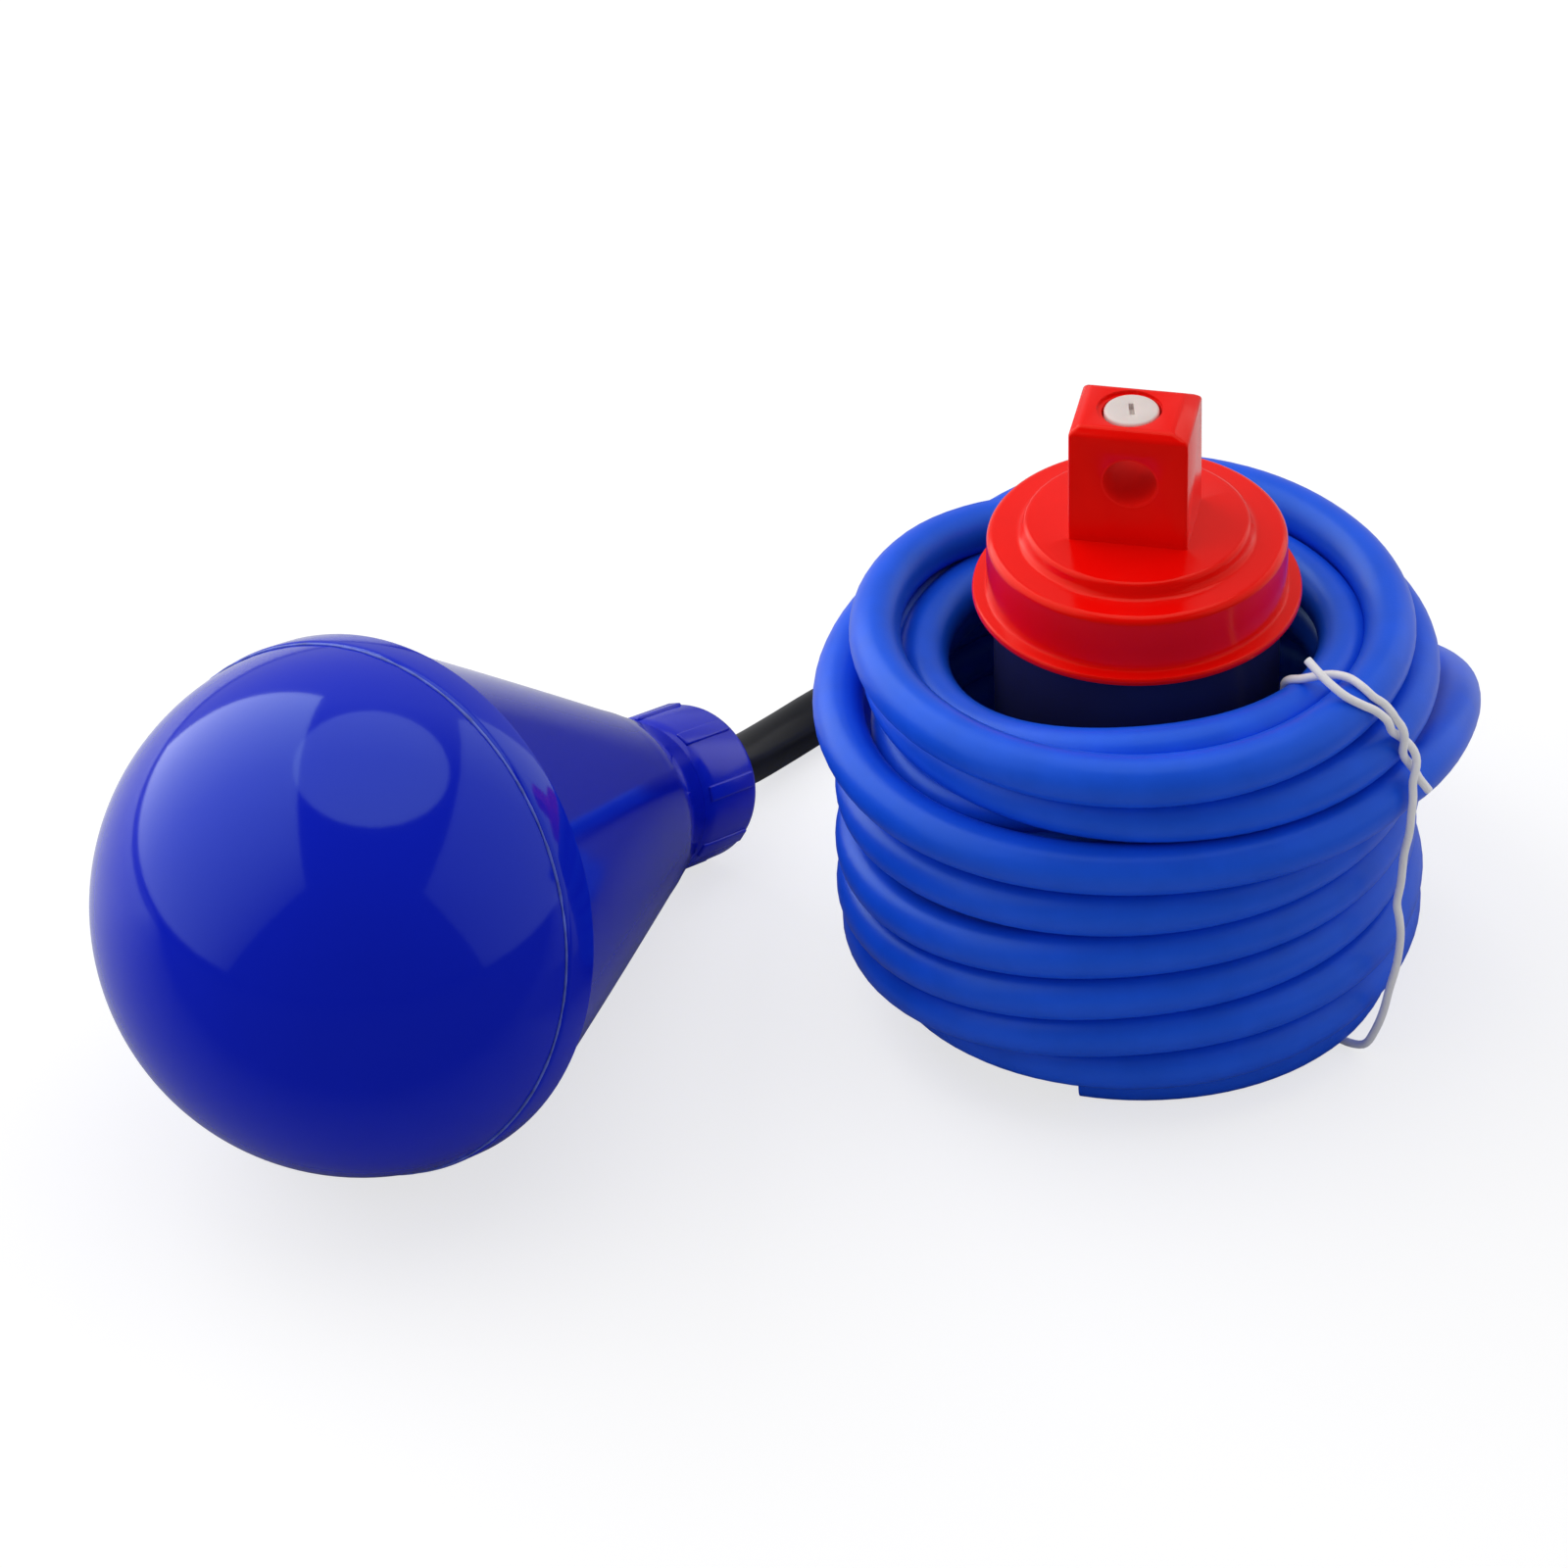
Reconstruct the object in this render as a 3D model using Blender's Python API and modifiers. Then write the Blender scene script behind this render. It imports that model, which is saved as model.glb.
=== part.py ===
"""Cable float switch: a sealed ball float with a tilt switch inside, on a coiled cable
that carries a counterweight with a clamping head.

Units are metres. The origin is the centre of the counterweight's underside, on the floor.
+X points to the right of the coil, away from the float, and +Z points up. The float lies
on its ball and on the rim of its gland nut, with its cable leading behind the coil.
"""

import math

import bmesh
import bpy
from mathutils import Matrix, Vector

# Clearance between pieces that touch on the real product
FIT_GAP = 0.0003

# How far the middle of a quarter round lies in from its corner, as a share of its radius
ROUND_MIDDLE = 1.0 - math.sqrt(0.5)

# Float shells
BALL_RADIUS = 0.0376
SHELL_WALL = 0.0022
SEAM_BEHIND_CENTRE = 0.0040
BAND_LENGTH = 0.0062
BAND_RISE = 0.00025
CONE_START_RADIUS = 0.0379
CONE_LENGTH = 0.0660
CONE_END_RADIUS = 0.0120
CONE_STEP_FROM_END = 0.0090
CONE_STEP_DEPTH = 0.0003
TONGUE_LENGTH = 0.0040
TONGUE_WALL = 0.0016
FLOAT_HEADING_DEGREES = 53.0
FLOAT_CENTRE_X = -0.1090
FLOAT_CENTRE_Y = -0.0275

# Cable gland
CABLE_RADIUS = 0.0036
SLEEVE_RADIUS = 0.0040
NECK_RADIUS = 0.0086
NECK_LENGTH = 0.0060
NECK_WALL_INSIDE = 0.0040
SEAL_LENGTH = 0.0030
WASHER_THICKNESS = 0.0009
NUT_RADIUS = 0.0118
NUT_END_WALL = 0.0036
NUT_SKIRT_CHAMFER = 0.0007
NUT_END_ROUNDING = 0.0019
NUT_RIB_COUNT = 8
NUT_RIB_WIDTH = 0.0024
NUT_RIB_RISE = 0.00035

# Switch canister inside the float
CANISTER_RADIUS = 0.0170
CANISTER_WALL = 0.0016
CANISTER_END_FROM_CENTRE = 0.0320
CANISTER_LENGTH = 0.0590
LEDGE_THICKNESS = 0.0025
LEDGE_HOLE_RADIUS = 0.0055
LID_THICKNESS = 0.0013
LID_SPIGOT_LENGTH = 0.0018
BOSS_RADIUS = 0.0110
BOSS_WALL = 0.0020
PASSAGE_OFFSET = 0.0110
PASSAGE_RADIUS = 0.0036

# Steel ball and its race
STEEL_BALL_RADIUS = 0.0060
RACE_CLEARANCE = 0.0003
RACE_WALL = 0.0014
RACE_OFFSET = 0.0030
RACE_LENGTH = 0.0336
RACE_FLANGE_THICKNESS = 0.0015

# Microswitch
SWITCH_LENGTH = 0.0200
SWITCH_THICKNESS = 0.0064
SWITCH_HEIGHT = 0.0102
SWITCH_TOP_BELOW_RACE = 0.0062
SCREW_SPACING = 0.0102
SCREW_ABOVE_BASE = 0.0048
SCREW_SHANK_RADIUS = 0.00095
SCREW_HEAD_RADIUS = 0.0017
SCREW_HEAD_HEIGHT = 0.0012
BRACKET_THICKNESS = 0.0020
LEVER_PIVOT_OFFSET = 0.0085
LEVER_PIVOT_RISE = 0.0014
LEVER_LENGTH = 0.0175
LEVER_WIDTH = 0.0042
LEVER_THICKNESS = 0.00045
LEVER_FREE_DEGREES = 6.0
LEVER_EYE_RADIUS = 0.00115
LEVER_PIN_RADIUS = 0.0005
LEVER_PIN_CLEARANCE = 0.00025
EAR_WIDTH = 0.0030
PLUNGER_ARM = 0.0070
PLUNGER_RADIUS = 0.0011
PLUNGER_DEPTH = 0.0028
PLUNGER_TRAVEL = 0.0010
TERMINAL_WIDTH = 0.0024
TERMINAL_THICKNESS = 0.0005
TERMINAL_LENGTH = 0.0043
TERMINAL_SPACING = 0.0080

# Core wires, from the cable's end to the microswitch. Shares are of the way to the ledge.
WIRE_RADIUS = 0.0009
WIRE_SPACING = 0.0022
WIRE_LAY_RADIUS = 0.0021
WIRE_LAY_DROP = 0.0012
WIRE_POINT_SPACING = 0.0045
WIRE_STRAIGHT_SHARE = 0.18
WIRE_MIDDLE_SHARE = 0.50
WIRE_ENTRY_SHARE = 0.92
WIRE_TAIL_ABOVE_RACE = 0.0010
WIRE_TAIL_BELOW_RACE = 0.0060
WIRE_LAND_SHARE = 0.70
# Share of the way across to the terminal, share of the passage's offset, height above the joint
WIRE_SWEEP = ((0.67, 0.86, 0.0061), (1.0, 0.56, 0.0012), (1.0, 0.24, 0.0))

# Counterweight
WEIGHT_RADIUS = 0.0200
WEIGHT_WALL = 0.0022
WEIGHT_FLOOR = 0.0030
WEIGHT_HEIGHT = 0.0652
FOOT_CHAMFER = 0.0010
FLANGE_RADIUS = 0.0229
FLANGE_THICKNESS = 0.0012
CAP_BASE_RADIUS = 0.0209
CAP_TOP_RADIUS = 0.0208
CAP_WALL_HEIGHT = 0.0085
CAP_SKIN = 0.0022
CAP_EDGE_ROUNDING = 0.0011
PLATEAU_RADIUS = 0.0154
PLATEAU_FOOT_RADIUS = 0.0168
PLATEAU_RISE = 0.0022
SPIGOT_LENGTH = 0.0060
SPIGOT_WALL = 0.0020

# Clamping head on the cap
HEAD_WIDTH = 0.0166
HEAD_DEPTH = 0.0127
HEAD_HEIGHT = 0.0182
HEAD_DRAFT = 0.0002
HEAD_EDGE_ROUNDING = 0.0008
HEAD_TOP_ROUNDING = 0.0019
HEAD_OFFSET = -0.0003
HEAD_TURN_DEGREES = -14.0
CABLE_HOLE_RADIUS = 0.0037
CABLE_HOLE_ABOVE_PLATEAU = 0.0101
CLAMP_SCREW_RADIUS = 0.0038
CLAMP_SCREW_LENGTH = 0.0033
CLAMP_SCREW_RECESS = 0.0001
CLAMP_SCREW_OFFSET = -0.0008
CLAMP_SLOT_WIDTH = 0.0009
CLAMP_SLOT_LENGTH = 0.0034
CLAMP_SLOT_DEPTH = 0.0010

# Cable coil
COIL_HOLE_RADIUS = 0.0250
COIL_TURN_RADII = (0.0352, 0.0378, 0.0388, 0.0395, 0.0390, 0.0391, None, 0.0378, 0.0358)
LEAD_GROOVE_RADIUS = 0.0342
COIL_CREASE_DEGREES = (50.0, 66.0)

# Route of the lead: behind the coil, up its back and once round its shoulder
CORD_POINT_SPACING = 0.0100
STRAIGHT_MARKS = 4
LEAD_HEIGHT = 0.0468
LEAD_TURN_RADIUS = 0.0400
LEAD_TURN_CENTRE_X = -0.0012
LEAD_TURN_CENTRE_Y = 0.0010
LEAD_TURN_START_DEGREES = -50.0
LEAD_TURN_END_DEGREES = -215.0
LEAD_TURN_MARKS = 14
SLEEVE_ROUTE = (
    (-0.0560, 0.0429, 0.0062),
    (-0.0500, 0.0505, 0.0044),
    (-0.0440, 0.0565, 0.0040),
    (-0.0370, 0.0620, 0.0040),
    (-0.0290, 0.0660, 0.0040),
)
LEAD_ROUTE = (
    (-0.0200, 0.0680, 0.0040),
    (-0.0080, 0.0675, 0.0050),
    (0.0060, 0.0640, 0.0080),
    (0.0200, 0.0575, 0.0125),
    (0.0330, 0.0465, 0.0192),
    (0.0425, 0.0320, 0.0274),
    (0.0468, 0.0160, 0.0355),
    (0.0465, 0.0012, 0.0418),
    (0.0436, -0.0100, 0.0446),
    (0.0388, -0.0184, 0.0461),
    (0.0320, -0.0252, 0.0468),
)

# Twist tie that holds the coil. In its own frame +X runs out from the counterweight's axis.
TIE_RADIUS = 0.0006
TIE_TURN_DEGREES = -39.0
TIE_POINT_SPACING = 0.0019
TIE_GROOVE_WIDTH = 0.0030
TIE_GROOVE_DEPTH = 0.0022
TIE_GROOVE_REACH = 0.0600
TIE_UPPER_END = (
    (0.0308, -0.0042, 0.0686),
    (0.0342, -0.0050, 0.0673),
    (0.0372, -0.0048, 0.0657),
    (0.0394, -0.0034, 0.0640),
    (0.0407, -0.0017, 0.0626),
    (0.0421, -0.0004, 0.0610),
    (0.0428, 0.0016, 0.0578),
    (0.0432, 0.0038, 0.0544),
    (0.0438, 0.0046, 0.0518),
    (0.0445, 0.0038, 0.0500),
    (0.0451, 0.0020, 0.0484),
)
TIE_LOOP = (
    (0.0456, 0.0460),
    (0.0454, 0.0427),
    (0.0447, 0.0385),
    (0.0444, 0.0335),
    (0.0439, 0.0296),
    (0.0444, 0.0270),
    (0.0447, 0.0237),
    (0.0443, 0.0190),
    (0.0433, 0.0140),
    (0.0424, 0.0092),
    (0.0412, 0.0052),
    (0.0397, 0.0020),
    (0.0374, 0.0009),
    (0.0340, 0.0008),
    (0.0275, 0.0008),
    (0.0248, 0.0011),
    (0.0239, 0.0035),
    (0.0240, 0.0200),
    (0.0240, 0.0400),
    (0.0240, 0.0560),
)
TIE_LOWER_END = (
    (0.0242, -0.0012, 0.0616),
    (0.0258, -0.0024, 0.0648),
    (0.0285, -0.0031, 0.0656),
    (0.0310, -0.0028, 0.0656),
    (0.0332, -0.0016, 0.0656),
    (0.0356, -0.0011, 0.0657),
    (0.0378, -0.0012, 0.0652),
    (0.0394, -0.0009, 0.0638),
    (0.0405, 0.0001, 0.0614),
    (0.0414, 0.0009, 0.0586),
    (0.0422, 0.0006, 0.0564),
    (0.0433, 0.0003, 0.0545),
    (0.0447, 0.0004, 0.0530),
    (0.0458, 0.0015, 0.0511),
    (0.0465, 0.0032, 0.0483),
)

# Faceting of the turned and bent pieces
LARGE_STEPS = 44
SMALL_STEPS = 24
TINY_STEPS = 16
DOME_INNER_STEPS = 8
DOME_OUTER_STEPS = 13
DOME_BOSS_STEPS = 2
COIL_ARC_SHARES = (0.0, 0.35, 0.65, 1.0)
CURVE_STEPS = 24
CABLE_BEVEL = 3
WIRE_BEVEL = 1
MERGE_DISTANCE = 0.0000005

# Heights and distances that follow from the sizes above
NUT_START = CONE_LENGTH + FIT_GAP
NECK_END = CONE_LENGTH + NECK_LENGTH
SEAL_START = NECK_END + FIT_GAP
WASHER_START = SEAL_START + SEAL_LENGTH + FIT_GAP
NUT_FLOOR = WASHER_START + WASHER_THICKNESS + FIT_GAP
NUT_END = NUT_FLOOR + NUT_END_WALL
GLAND_BORE = SLEEVE_RADIUS + FIT_GAP
CONE_SLOPE = (CONE_START_RADIUS - CONE_END_RADIUS) / CONE_LENGTH
CONE_WALL_ACROSS = SHELL_WALL * math.hypot(1.0, CONE_SLOPE)
NECK_INSIDE = CONE_LENGTH - NECK_WALL_INSIDE
SLEEVE_START = NECK_INSIDE - 2.0 * CABLE_RADIUS / 3.0
BALL_INNER_RADIUS = BALL_RADIUS - SHELL_WALL
CANISTER_OPEN_END = CANISTER_END_FROM_CENTRE - CANISTER_LENGTH
CANISTER_BORE = CANISTER_RADIUS - CANISTER_WALL
CANISTER_FLOOR = CANISTER_END_FROM_CENTRE - CANISTER_WALL
LID_TOP = CANISTER_OPEN_END - FIT_GAP
LID_BOTTOM = LID_TOP - LID_THICKNESS
RACE_BORE = STEEL_BALL_RADIUS + RACE_CLEARANCE
RACE_RADIUS = RACE_BORE + RACE_WALL
RACE_TOP = CANISTER_FLOOR - FIT_GAP
RACE_BOTTOM = RACE_TOP - RACE_LENGTH
BALL_REST = CANISTER_FLOOR - FIT_GAP - STEEL_BALL_RADIUS
SWITCH_TOP = RACE_BOTTOM - SWITCH_TOP_BELOW_RACE
SWITCH_BASE = SWITCH_TOP - SWITCH_HEIGHT
LEVER_PIVOT = SWITCH_TOP + LEVER_PIVOT_RISE
SCREW_HEIGHT = SWITCH_BASE + SCREW_ABOVE_BASE
BRACKET_START = SWITCH_THICKNESS / 2.0 + FIT_GAP
FLANGE_BOTTOM = WEIGHT_HEIGHT + FIT_GAP
FLANGE_TOP = FLANGE_BOTTOM + FLANGE_THICKNESS
CAP_TOP = FLANGE_TOP + CAP_WALL_HEIGHT
PLATEAU_TOP = CAP_TOP + PLATEAU_RISE
HEAD_TOP = PLATEAU_TOP + HEAD_HEIGHT
CABLE_HOLE_HEIGHT = PLATEAU_TOP + CABLE_HOLE_ABOVE_PLATEAU
CABLE_DIAMETER = 2.0 * CABLE_RADIUS


def cone_radius(distance):
    """Outer radius of the cone at a distance from the ball's centre."""
    return CONE_START_RADIUS - CONE_SLOPE * distance


def cone_inner_radius(distance):
    """Inner radius of the cone's wall at a distance from the ball's centre."""
    return cone_radius(distance) - CONE_WALL_ACROSS


def float_dip():
    """Angle below level at which both the ball and the nut's rim touch the floor."""
    reach = math.hypot(NUT_END - NUT_END_ROUNDING, NUT_RADIUS)
    rim = math.atan2(NUT_RADIUS, NUT_END - NUT_END_ROUNDING)
    return math.asin(BALL_RADIUS / reach) - rim


def float_matrix():
    """Place of the float: its own +Z runs from the ball's centre out through the nut."""
    dip = float_dip()
    heading = math.radians(FLOAT_HEADING_DEGREES)
    axis = Vector(
        (math.cos(dip) * math.cos(heading), math.cos(dip) * math.sin(heading), -math.sin(dip))
    )
    side = Vector((-math.sin(heading), math.cos(heading), 0.0))
    up = axis.cross(side)
    turn = Matrix((side, up, axis)).transposed().to_4x4()
    return Matrix.Translation((FLOAT_CENTRE_X, FLOAT_CENTRE_Y, BALL_RADIUS)) @ turn


def clear_scene():
    for item in list(bpy.data.objects):
        bpy.data.objects.remove(item, do_unlink=True)


def new_collection(name):
    group = bpy.data.collections.new(name)
    bpy.context.scene.collection.children.link(group)
    return group


def new_material(name, colour, roughness, metallic=0.0):
    material = bpy.data.materials.new(name)
    material.use_nodes = True
    shader = material.node_tree.nodes["Principled BSDF"]
    shader.inputs["Base Color"].default_value = (*colour, 1.0)
    shader.inputs["Roughness"].default_value = roughness
    shader.inputs["Metallic"].default_value = metallic
    material.diffuse_color = (*colour, 1.0)
    return material


def add_part(name, mesh, material, parent=None):
    """Adds a sub-part as its own object with its own material."""
    part = bpy.data.objects.new(name, mesh)
    PARTS.objects.link(part)
    mesh.materials.clear()
    mesh.materials.append(material)
    if parent is not None:
        part.parent = parent
    return part


def add_cutter(name, mesh, parent=None):
    cutter = bpy.data.objects.new(name, mesh)
    CUTTERS.objects.link(cutter)
    cutter.hide_render = True
    cutter.display_type = "WIRE"
    if parent is not None:
        cutter.parent = parent
    return cutter


def boolean(part, other, operation):
    modifier = part.modifiers.new(other.name, "BOOLEAN")
    modifier.operation = operation
    modifier.solver = "EXACT"
    modifier.object = other
    return modifier


def smooth(mesh, degrees=35.0):
    mesh.shade_smooth()
    mesh.set_sharp_from_angle(angle=math.radians(degrees))


def profile_mesh(name, points, closed):
    """A chain of edges in the XZ plane, for the Screw modifier."""
    vertices = [(radius, 0.0, height) for radius, height in points]
    edges = [(i, i + 1) for i in range(len(vertices) - 1)]
    if closed:
        edges.append((len(vertices) - 1, 0))
    mesh = bpy.data.meshes.new(name)
    mesh.from_pydata(vertices, edges, [])
    return mesh


def turned(name, points, steps, closed=True):
    """A turned solid's mesh. The outer side of the profile runs from top to bottom."""
    source = bpy.data.objects.new(name + "_profile", profile_mesh(name, points, closed))
    bpy.context.scene.collection.objects.link(source)
    screw = source.modifiers.new("turn", "SCREW")
    screw.steps = steps
    screw.render_steps = steps
    screw.use_merge_vertices = True
    screw.merge_threshold = MERGE_DISTANCE
    mesh = evaluated_mesh(source)
    bpy.data.objects.remove(source, do_unlink=True)
    mesh.name = name
    smooth(mesh)
    return mesh


def evaluated_mesh(source):
    depsgraph = bpy.context.evaluated_depsgraph_get()
    mesh = bpy.data.meshes.new_from_object(source.evaluated_get(depsgraph))
    shape = bmesh.new()
    shape.from_mesh(mesh)
    bmesh.ops.remove_doubles(shape, verts=shape.verts, dist=MERGE_DISTANCE)
    bmesh.ops.recalc_face_normals(shape, faces=shape.faces)
    shape.to_mesh(mesh)
    shape.free()
    return mesh


def box(name, low, high):
    shape = bmesh.new()
    bmesh.ops.create_cube(shape, size=1.0)
    size = [top - bottom for top, bottom in zip(high, low)]
    centre = [(top + bottom) / 2.0 for top, bottom in zip(high, low)]
    bmesh.ops.scale(shape, vec=size, verts=shape.verts)
    bmesh.ops.translate(shape, vec=centre, verts=shape.verts)
    mesh = bpy.data.meshes.new(name)
    shape.to_mesh(mesh)
    shape.free()
    return mesh


def cylinder(name, radius, start, end, segments):
    """A cylinder's mesh from one point to another."""
    start = Vector(start)
    end = Vector(end)
    along = end - start
    shape = bmesh.new()
    bmesh.ops.create_cone(
        shape, cap_ends=True, segments=segments, radius1=radius, radius2=radius, depth=along.length
    )
    turn = along.to_track_quat("Z", "Y").to_matrix().to_4x4()
    place = Matrix.Translation((start + end) / 2.0) @ turn
    bmesh.ops.transform(shape, matrix=place, verts=shape.verts)
    mesh = bpy.data.meshes.new(name)
    shape.to_mesh(mesh)
    shape.free()
    smooth(mesh)
    return mesh


def tube(name, points, radius, resolution):
    """A round bar along the points: a POLY curve with filled caps, made a mesh."""
    curve = bpy.data.curves.new(name, "CURVE")
    curve.dimensions = "3D"
    curve.bevel_depth = radius
    curve.bevel_resolution = resolution
    curve.use_fill_caps = True
    spline = curve.splines.new("POLY")
    spline.points.add(len(points) - 1)
    for point, place in zip(spline.points, points):
        point.co = (*place, 1.0)
    source = bpy.data.objects.new(name + "_curve", curve)
    bpy.context.scene.collection.objects.link(source)
    mesh = evaluated_mesh(source)
    bpy.data.objects.remove(source, do_unlink=True)
    mesh.name = name
    smooth(mesh)
    return mesh


def smooth_route(points, spacing):
    """Points along a smooth curve through the route's own points, evenly spaced."""
    route = [Vector(point) for point in points]
    route = [2.0 * route[0] - route[1]] + route + [2.0 * route[-1] - route[-2]]
    fine = []
    for i in range(1, len(route) - 2):
        p0, p1, p2, p3 = route[i - 1 : i + 3]
        for step in range(CURVE_STEPS):
            t = step / CURVE_STEPS
            a = 2.0 * p1
            b = p2 - p0
            c = 2.0 * p0 - 5.0 * p1 + 4.0 * p2 - p3
            d = 3.0 * p1 - p0 - 3.0 * p2 + p3
            fine.append((a + b * t + c * t * t + d * t * t * t) / 2.0)
    fine.append(route[-2])
    length = sum((b - a).length for a, b in zip(fine, fine[1:]))
    count = max(2, round(length / spacing))
    kept = [fine[0]]
    walked = 0.0
    for a, b in zip(fine, fine[1:]):
        walked += (b - a).length
        if walked >= length * len(kept) / count and len(kept) < count:
            kept.append(b)
    kept.append(fine[-1])
    return kept


def sphere_arc(radius, start_radius, end_radius, count):
    """Points of a circle about the ball's centre, behind it, between two distances off axis."""
    start = math.asin(start_radius / radius)
    end = math.asin(end_radius / radius)
    angles = [start + (end - start) * i / count for i in range(count + 1)]
    return [(radius * math.sin(angle), -radius * math.cos(angle)) for angle in angles]


# Float shells: dome and cone, welded at the seam
def make_float_dome(frame, material):
    seam = -SEAM_BEHIND_CENTRE
    boss_bore = BOSS_RADIUS - BOSS_WALL
    boss_end = LID_BOTTOM - FIT_GAP
    inner_rim = math.sqrt(BALL_INNER_RADIUS**2 - seam**2)
    outer_rim = math.sqrt(BALL_RADIUS**2 - seam**2)
    profile = sphere_arc(BALL_INNER_RADIUS, 0.0, boss_bore, DOME_BOSS_STEPS)
    profile += [(boss_bore, boss_end), (BOSS_RADIUS, boss_end)]
    profile += sphere_arc(BALL_INNER_RADIUS, BOSS_RADIUS, inner_rim, DOME_INNER_STEPS)
    profile += sphere_arc(BALL_RADIUS, outer_rim, 0.0, DOME_OUTER_STEPS)
    return add_part("float_dome", turned("float_dome", profile, LARGE_STEPS, False), material, frame)


def make_float_cone(frame, material, passage):
    rim = -SEAM_BEHIND_CENTRE + FIT_GAP
    band_back = -SEAM_BEHIND_CENTRE + BAND_LENGTH
    band_radius = BALL_RADIUS + BAND_RISE
    tip = -SEAM_BEHIND_CENTRE - TONGUE_LENGTH
    tongue_outer = math.sqrt(BALL_INNER_RADIUS**2 - tip**2) - FIT_GAP
    tongue_inner = tongue_outer - TONGUE_WALL
    tongue_root = (CONE_START_RADIUS - CONE_WALL_ACROSS - tongue_inner) / CONE_SLOPE
    step = CONE_LENGTH - CONE_STEP_FROM_END
    ledge = CANISTER_END_FROM_CENTRE + FIT_GAP
    ledge_back = ledge + LEDGE_THICKNESS
    profile = [
        (NECK_RADIUS, NECK_END),
        (NECK_RADIUS, CONE_LENGTH),
        (CONE_END_RADIUS, CONE_LENGTH),
        (cone_radius(step), step),
        (cone_radius(step) + CONE_STEP_DEPTH, step - CONE_STEP_DEPTH),
        (cone_radius(band_back), band_back),
        (band_radius, band_back - 2.0 * BAND_RISE),
        (band_radius, rim + 2.0 * BAND_RISE),
        (band_radius - 2.0 * BAND_RISE, rim),
        (tongue_outer, rim),
        (tongue_outer, tip),
        (tongue_inner, tip),
        (tongue_inner, tongue_root),
        (cone_inner_radius(ledge), ledge),
        (LEDGE_HOLE_RADIUS, ledge),
        (LEDGE_HOLE_RADIUS, ledge_back),
        (cone_inner_radius(ledge_back), ledge_back),
        (cone_inner_radius(NECK_INSIDE), NECK_INSIDE),
        (GLAND_BORE, NECK_INSIDE),
        (GLAND_BORE, NECK_END),
    ]
    cone = add_part("float_cone", turned("float_cone", profile, LARGE_STEPS), material, frame)
    boolean(cone, passage, "DIFFERENCE")
    return cone


# Cable gland: ribbed nut, washer and seal round the sleeved cable
def make_gland(frame, blue, rubber, nylon):
    cavity = NECK_RADIUS + FIT_GAP
    profile = [
        (GLAND_BORE, NUT_END),
        (NUT_RADIUS - NUT_END_ROUNDING, NUT_END),
        (NUT_RADIUS - ROUND_MIDDLE * NUT_END_ROUNDING, NUT_END - ROUND_MIDDLE * NUT_END_ROUNDING),
        (NUT_RADIUS, NUT_END - NUT_END_ROUNDING),
        (NUT_RADIUS, NUT_START + NUT_SKIRT_CHAMFER),
        (NUT_RADIUS - NUT_SKIRT_CHAMFER, NUT_START),
        (cavity, NUT_START),
        (cavity, NUT_FLOOR),
        (GLAND_BORE, NUT_FLOOR),
    ]
    nut = add_part("gland_nut", turned("gland_nut", profile, LARGE_STEPS), blue, frame)
    boolean(nut, make_nut_ribs(frame), "UNION")
    seal = [
        (GLAND_BORE, SEAL_START + SEAL_LENGTH),
        (NECK_RADIUS, SEAL_START + SEAL_LENGTH),
        (NECK_RADIUS, SEAL_START),
        (GLAND_BORE, SEAL_START),
    ]
    add_part("gland_seal", turned("gland_seal", seal, SMALL_STEPS), rubber, frame)
    washer = [
        (GLAND_BORE, WASHER_START + WASHER_THICKNESS),
        (NECK_RADIUS, WASHER_START + WASHER_THICKNESS),
        (NECK_RADIUS, WASHER_START),
        (GLAND_BORE, WASHER_START),
    ]
    add_part("gland_washer", turned("gland_washer", washer, SMALL_STEPS), nylon, frame)


def make_nut_ribs(frame):
    """Grip ribs round the nut, none of them on its lowest line, where it meets the floor."""
    outer = NUT_RADIUS + NUT_RIB_RISE
    inner = NUT_RADIUS - 2.0 * NUT_RIB_RISE
    low = NUT_START + 2.0 * NUT_SKIRT_CHAMFER
    high = NUT_END - NUT_END_ROUNDING
    half = NUT_RIB_WIDTH / 2.0
    ribs = bmesh.new()
    for i in range(NUT_RIB_COUNT):
        rib = bmesh.ops.create_cube(ribs, size=1.0)["verts"]
        bmesh.ops.scale(ribs, vec=(outer - inner, 2.0 * half, high - low), verts=rib)
        bmesh.ops.translate(ribs, vec=((outer + inner) / 2.0, 0.0, (high + low) / 2.0), verts=rib)
        angle = 2.0 * math.pi * (i + 0.5) / NUT_RIB_COUNT - math.pi / 2.0
        bmesh.ops.rotate(ribs, cent=(0, 0, 0), matrix=Matrix.Rotation(angle, 3, "Z"), verts=rib)
    mesh = bpy.data.meshes.new("nut_ribs")
    ribs.to_mesh(mesh)
    ribs.free()
    return add_cutter("nut_ribs", mesh, frame)


# Switch canister: cup, lid with the switch's bracket, and the steel ball's race
def make_canister(frame, plastic, passage):
    profile = [
        (0.0, CANISTER_END_FROM_CENTRE),
        (CANISTER_RADIUS, CANISTER_END_FROM_CENTRE),
        (CANISTER_RADIUS, CANISTER_OPEN_END),
        (CANISTER_BORE, CANISTER_OPEN_END),
        (CANISTER_BORE, CANISTER_FLOOR),
        (0.0, CANISTER_FLOOR),
    ]
    mesh = turned("switch_canister", profile, SMALL_STEPS, False)
    canister = add_part("switch_canister", mesh, plastic, frame)
    boolean(canister, passage, "DIFFERENCE")


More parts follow.
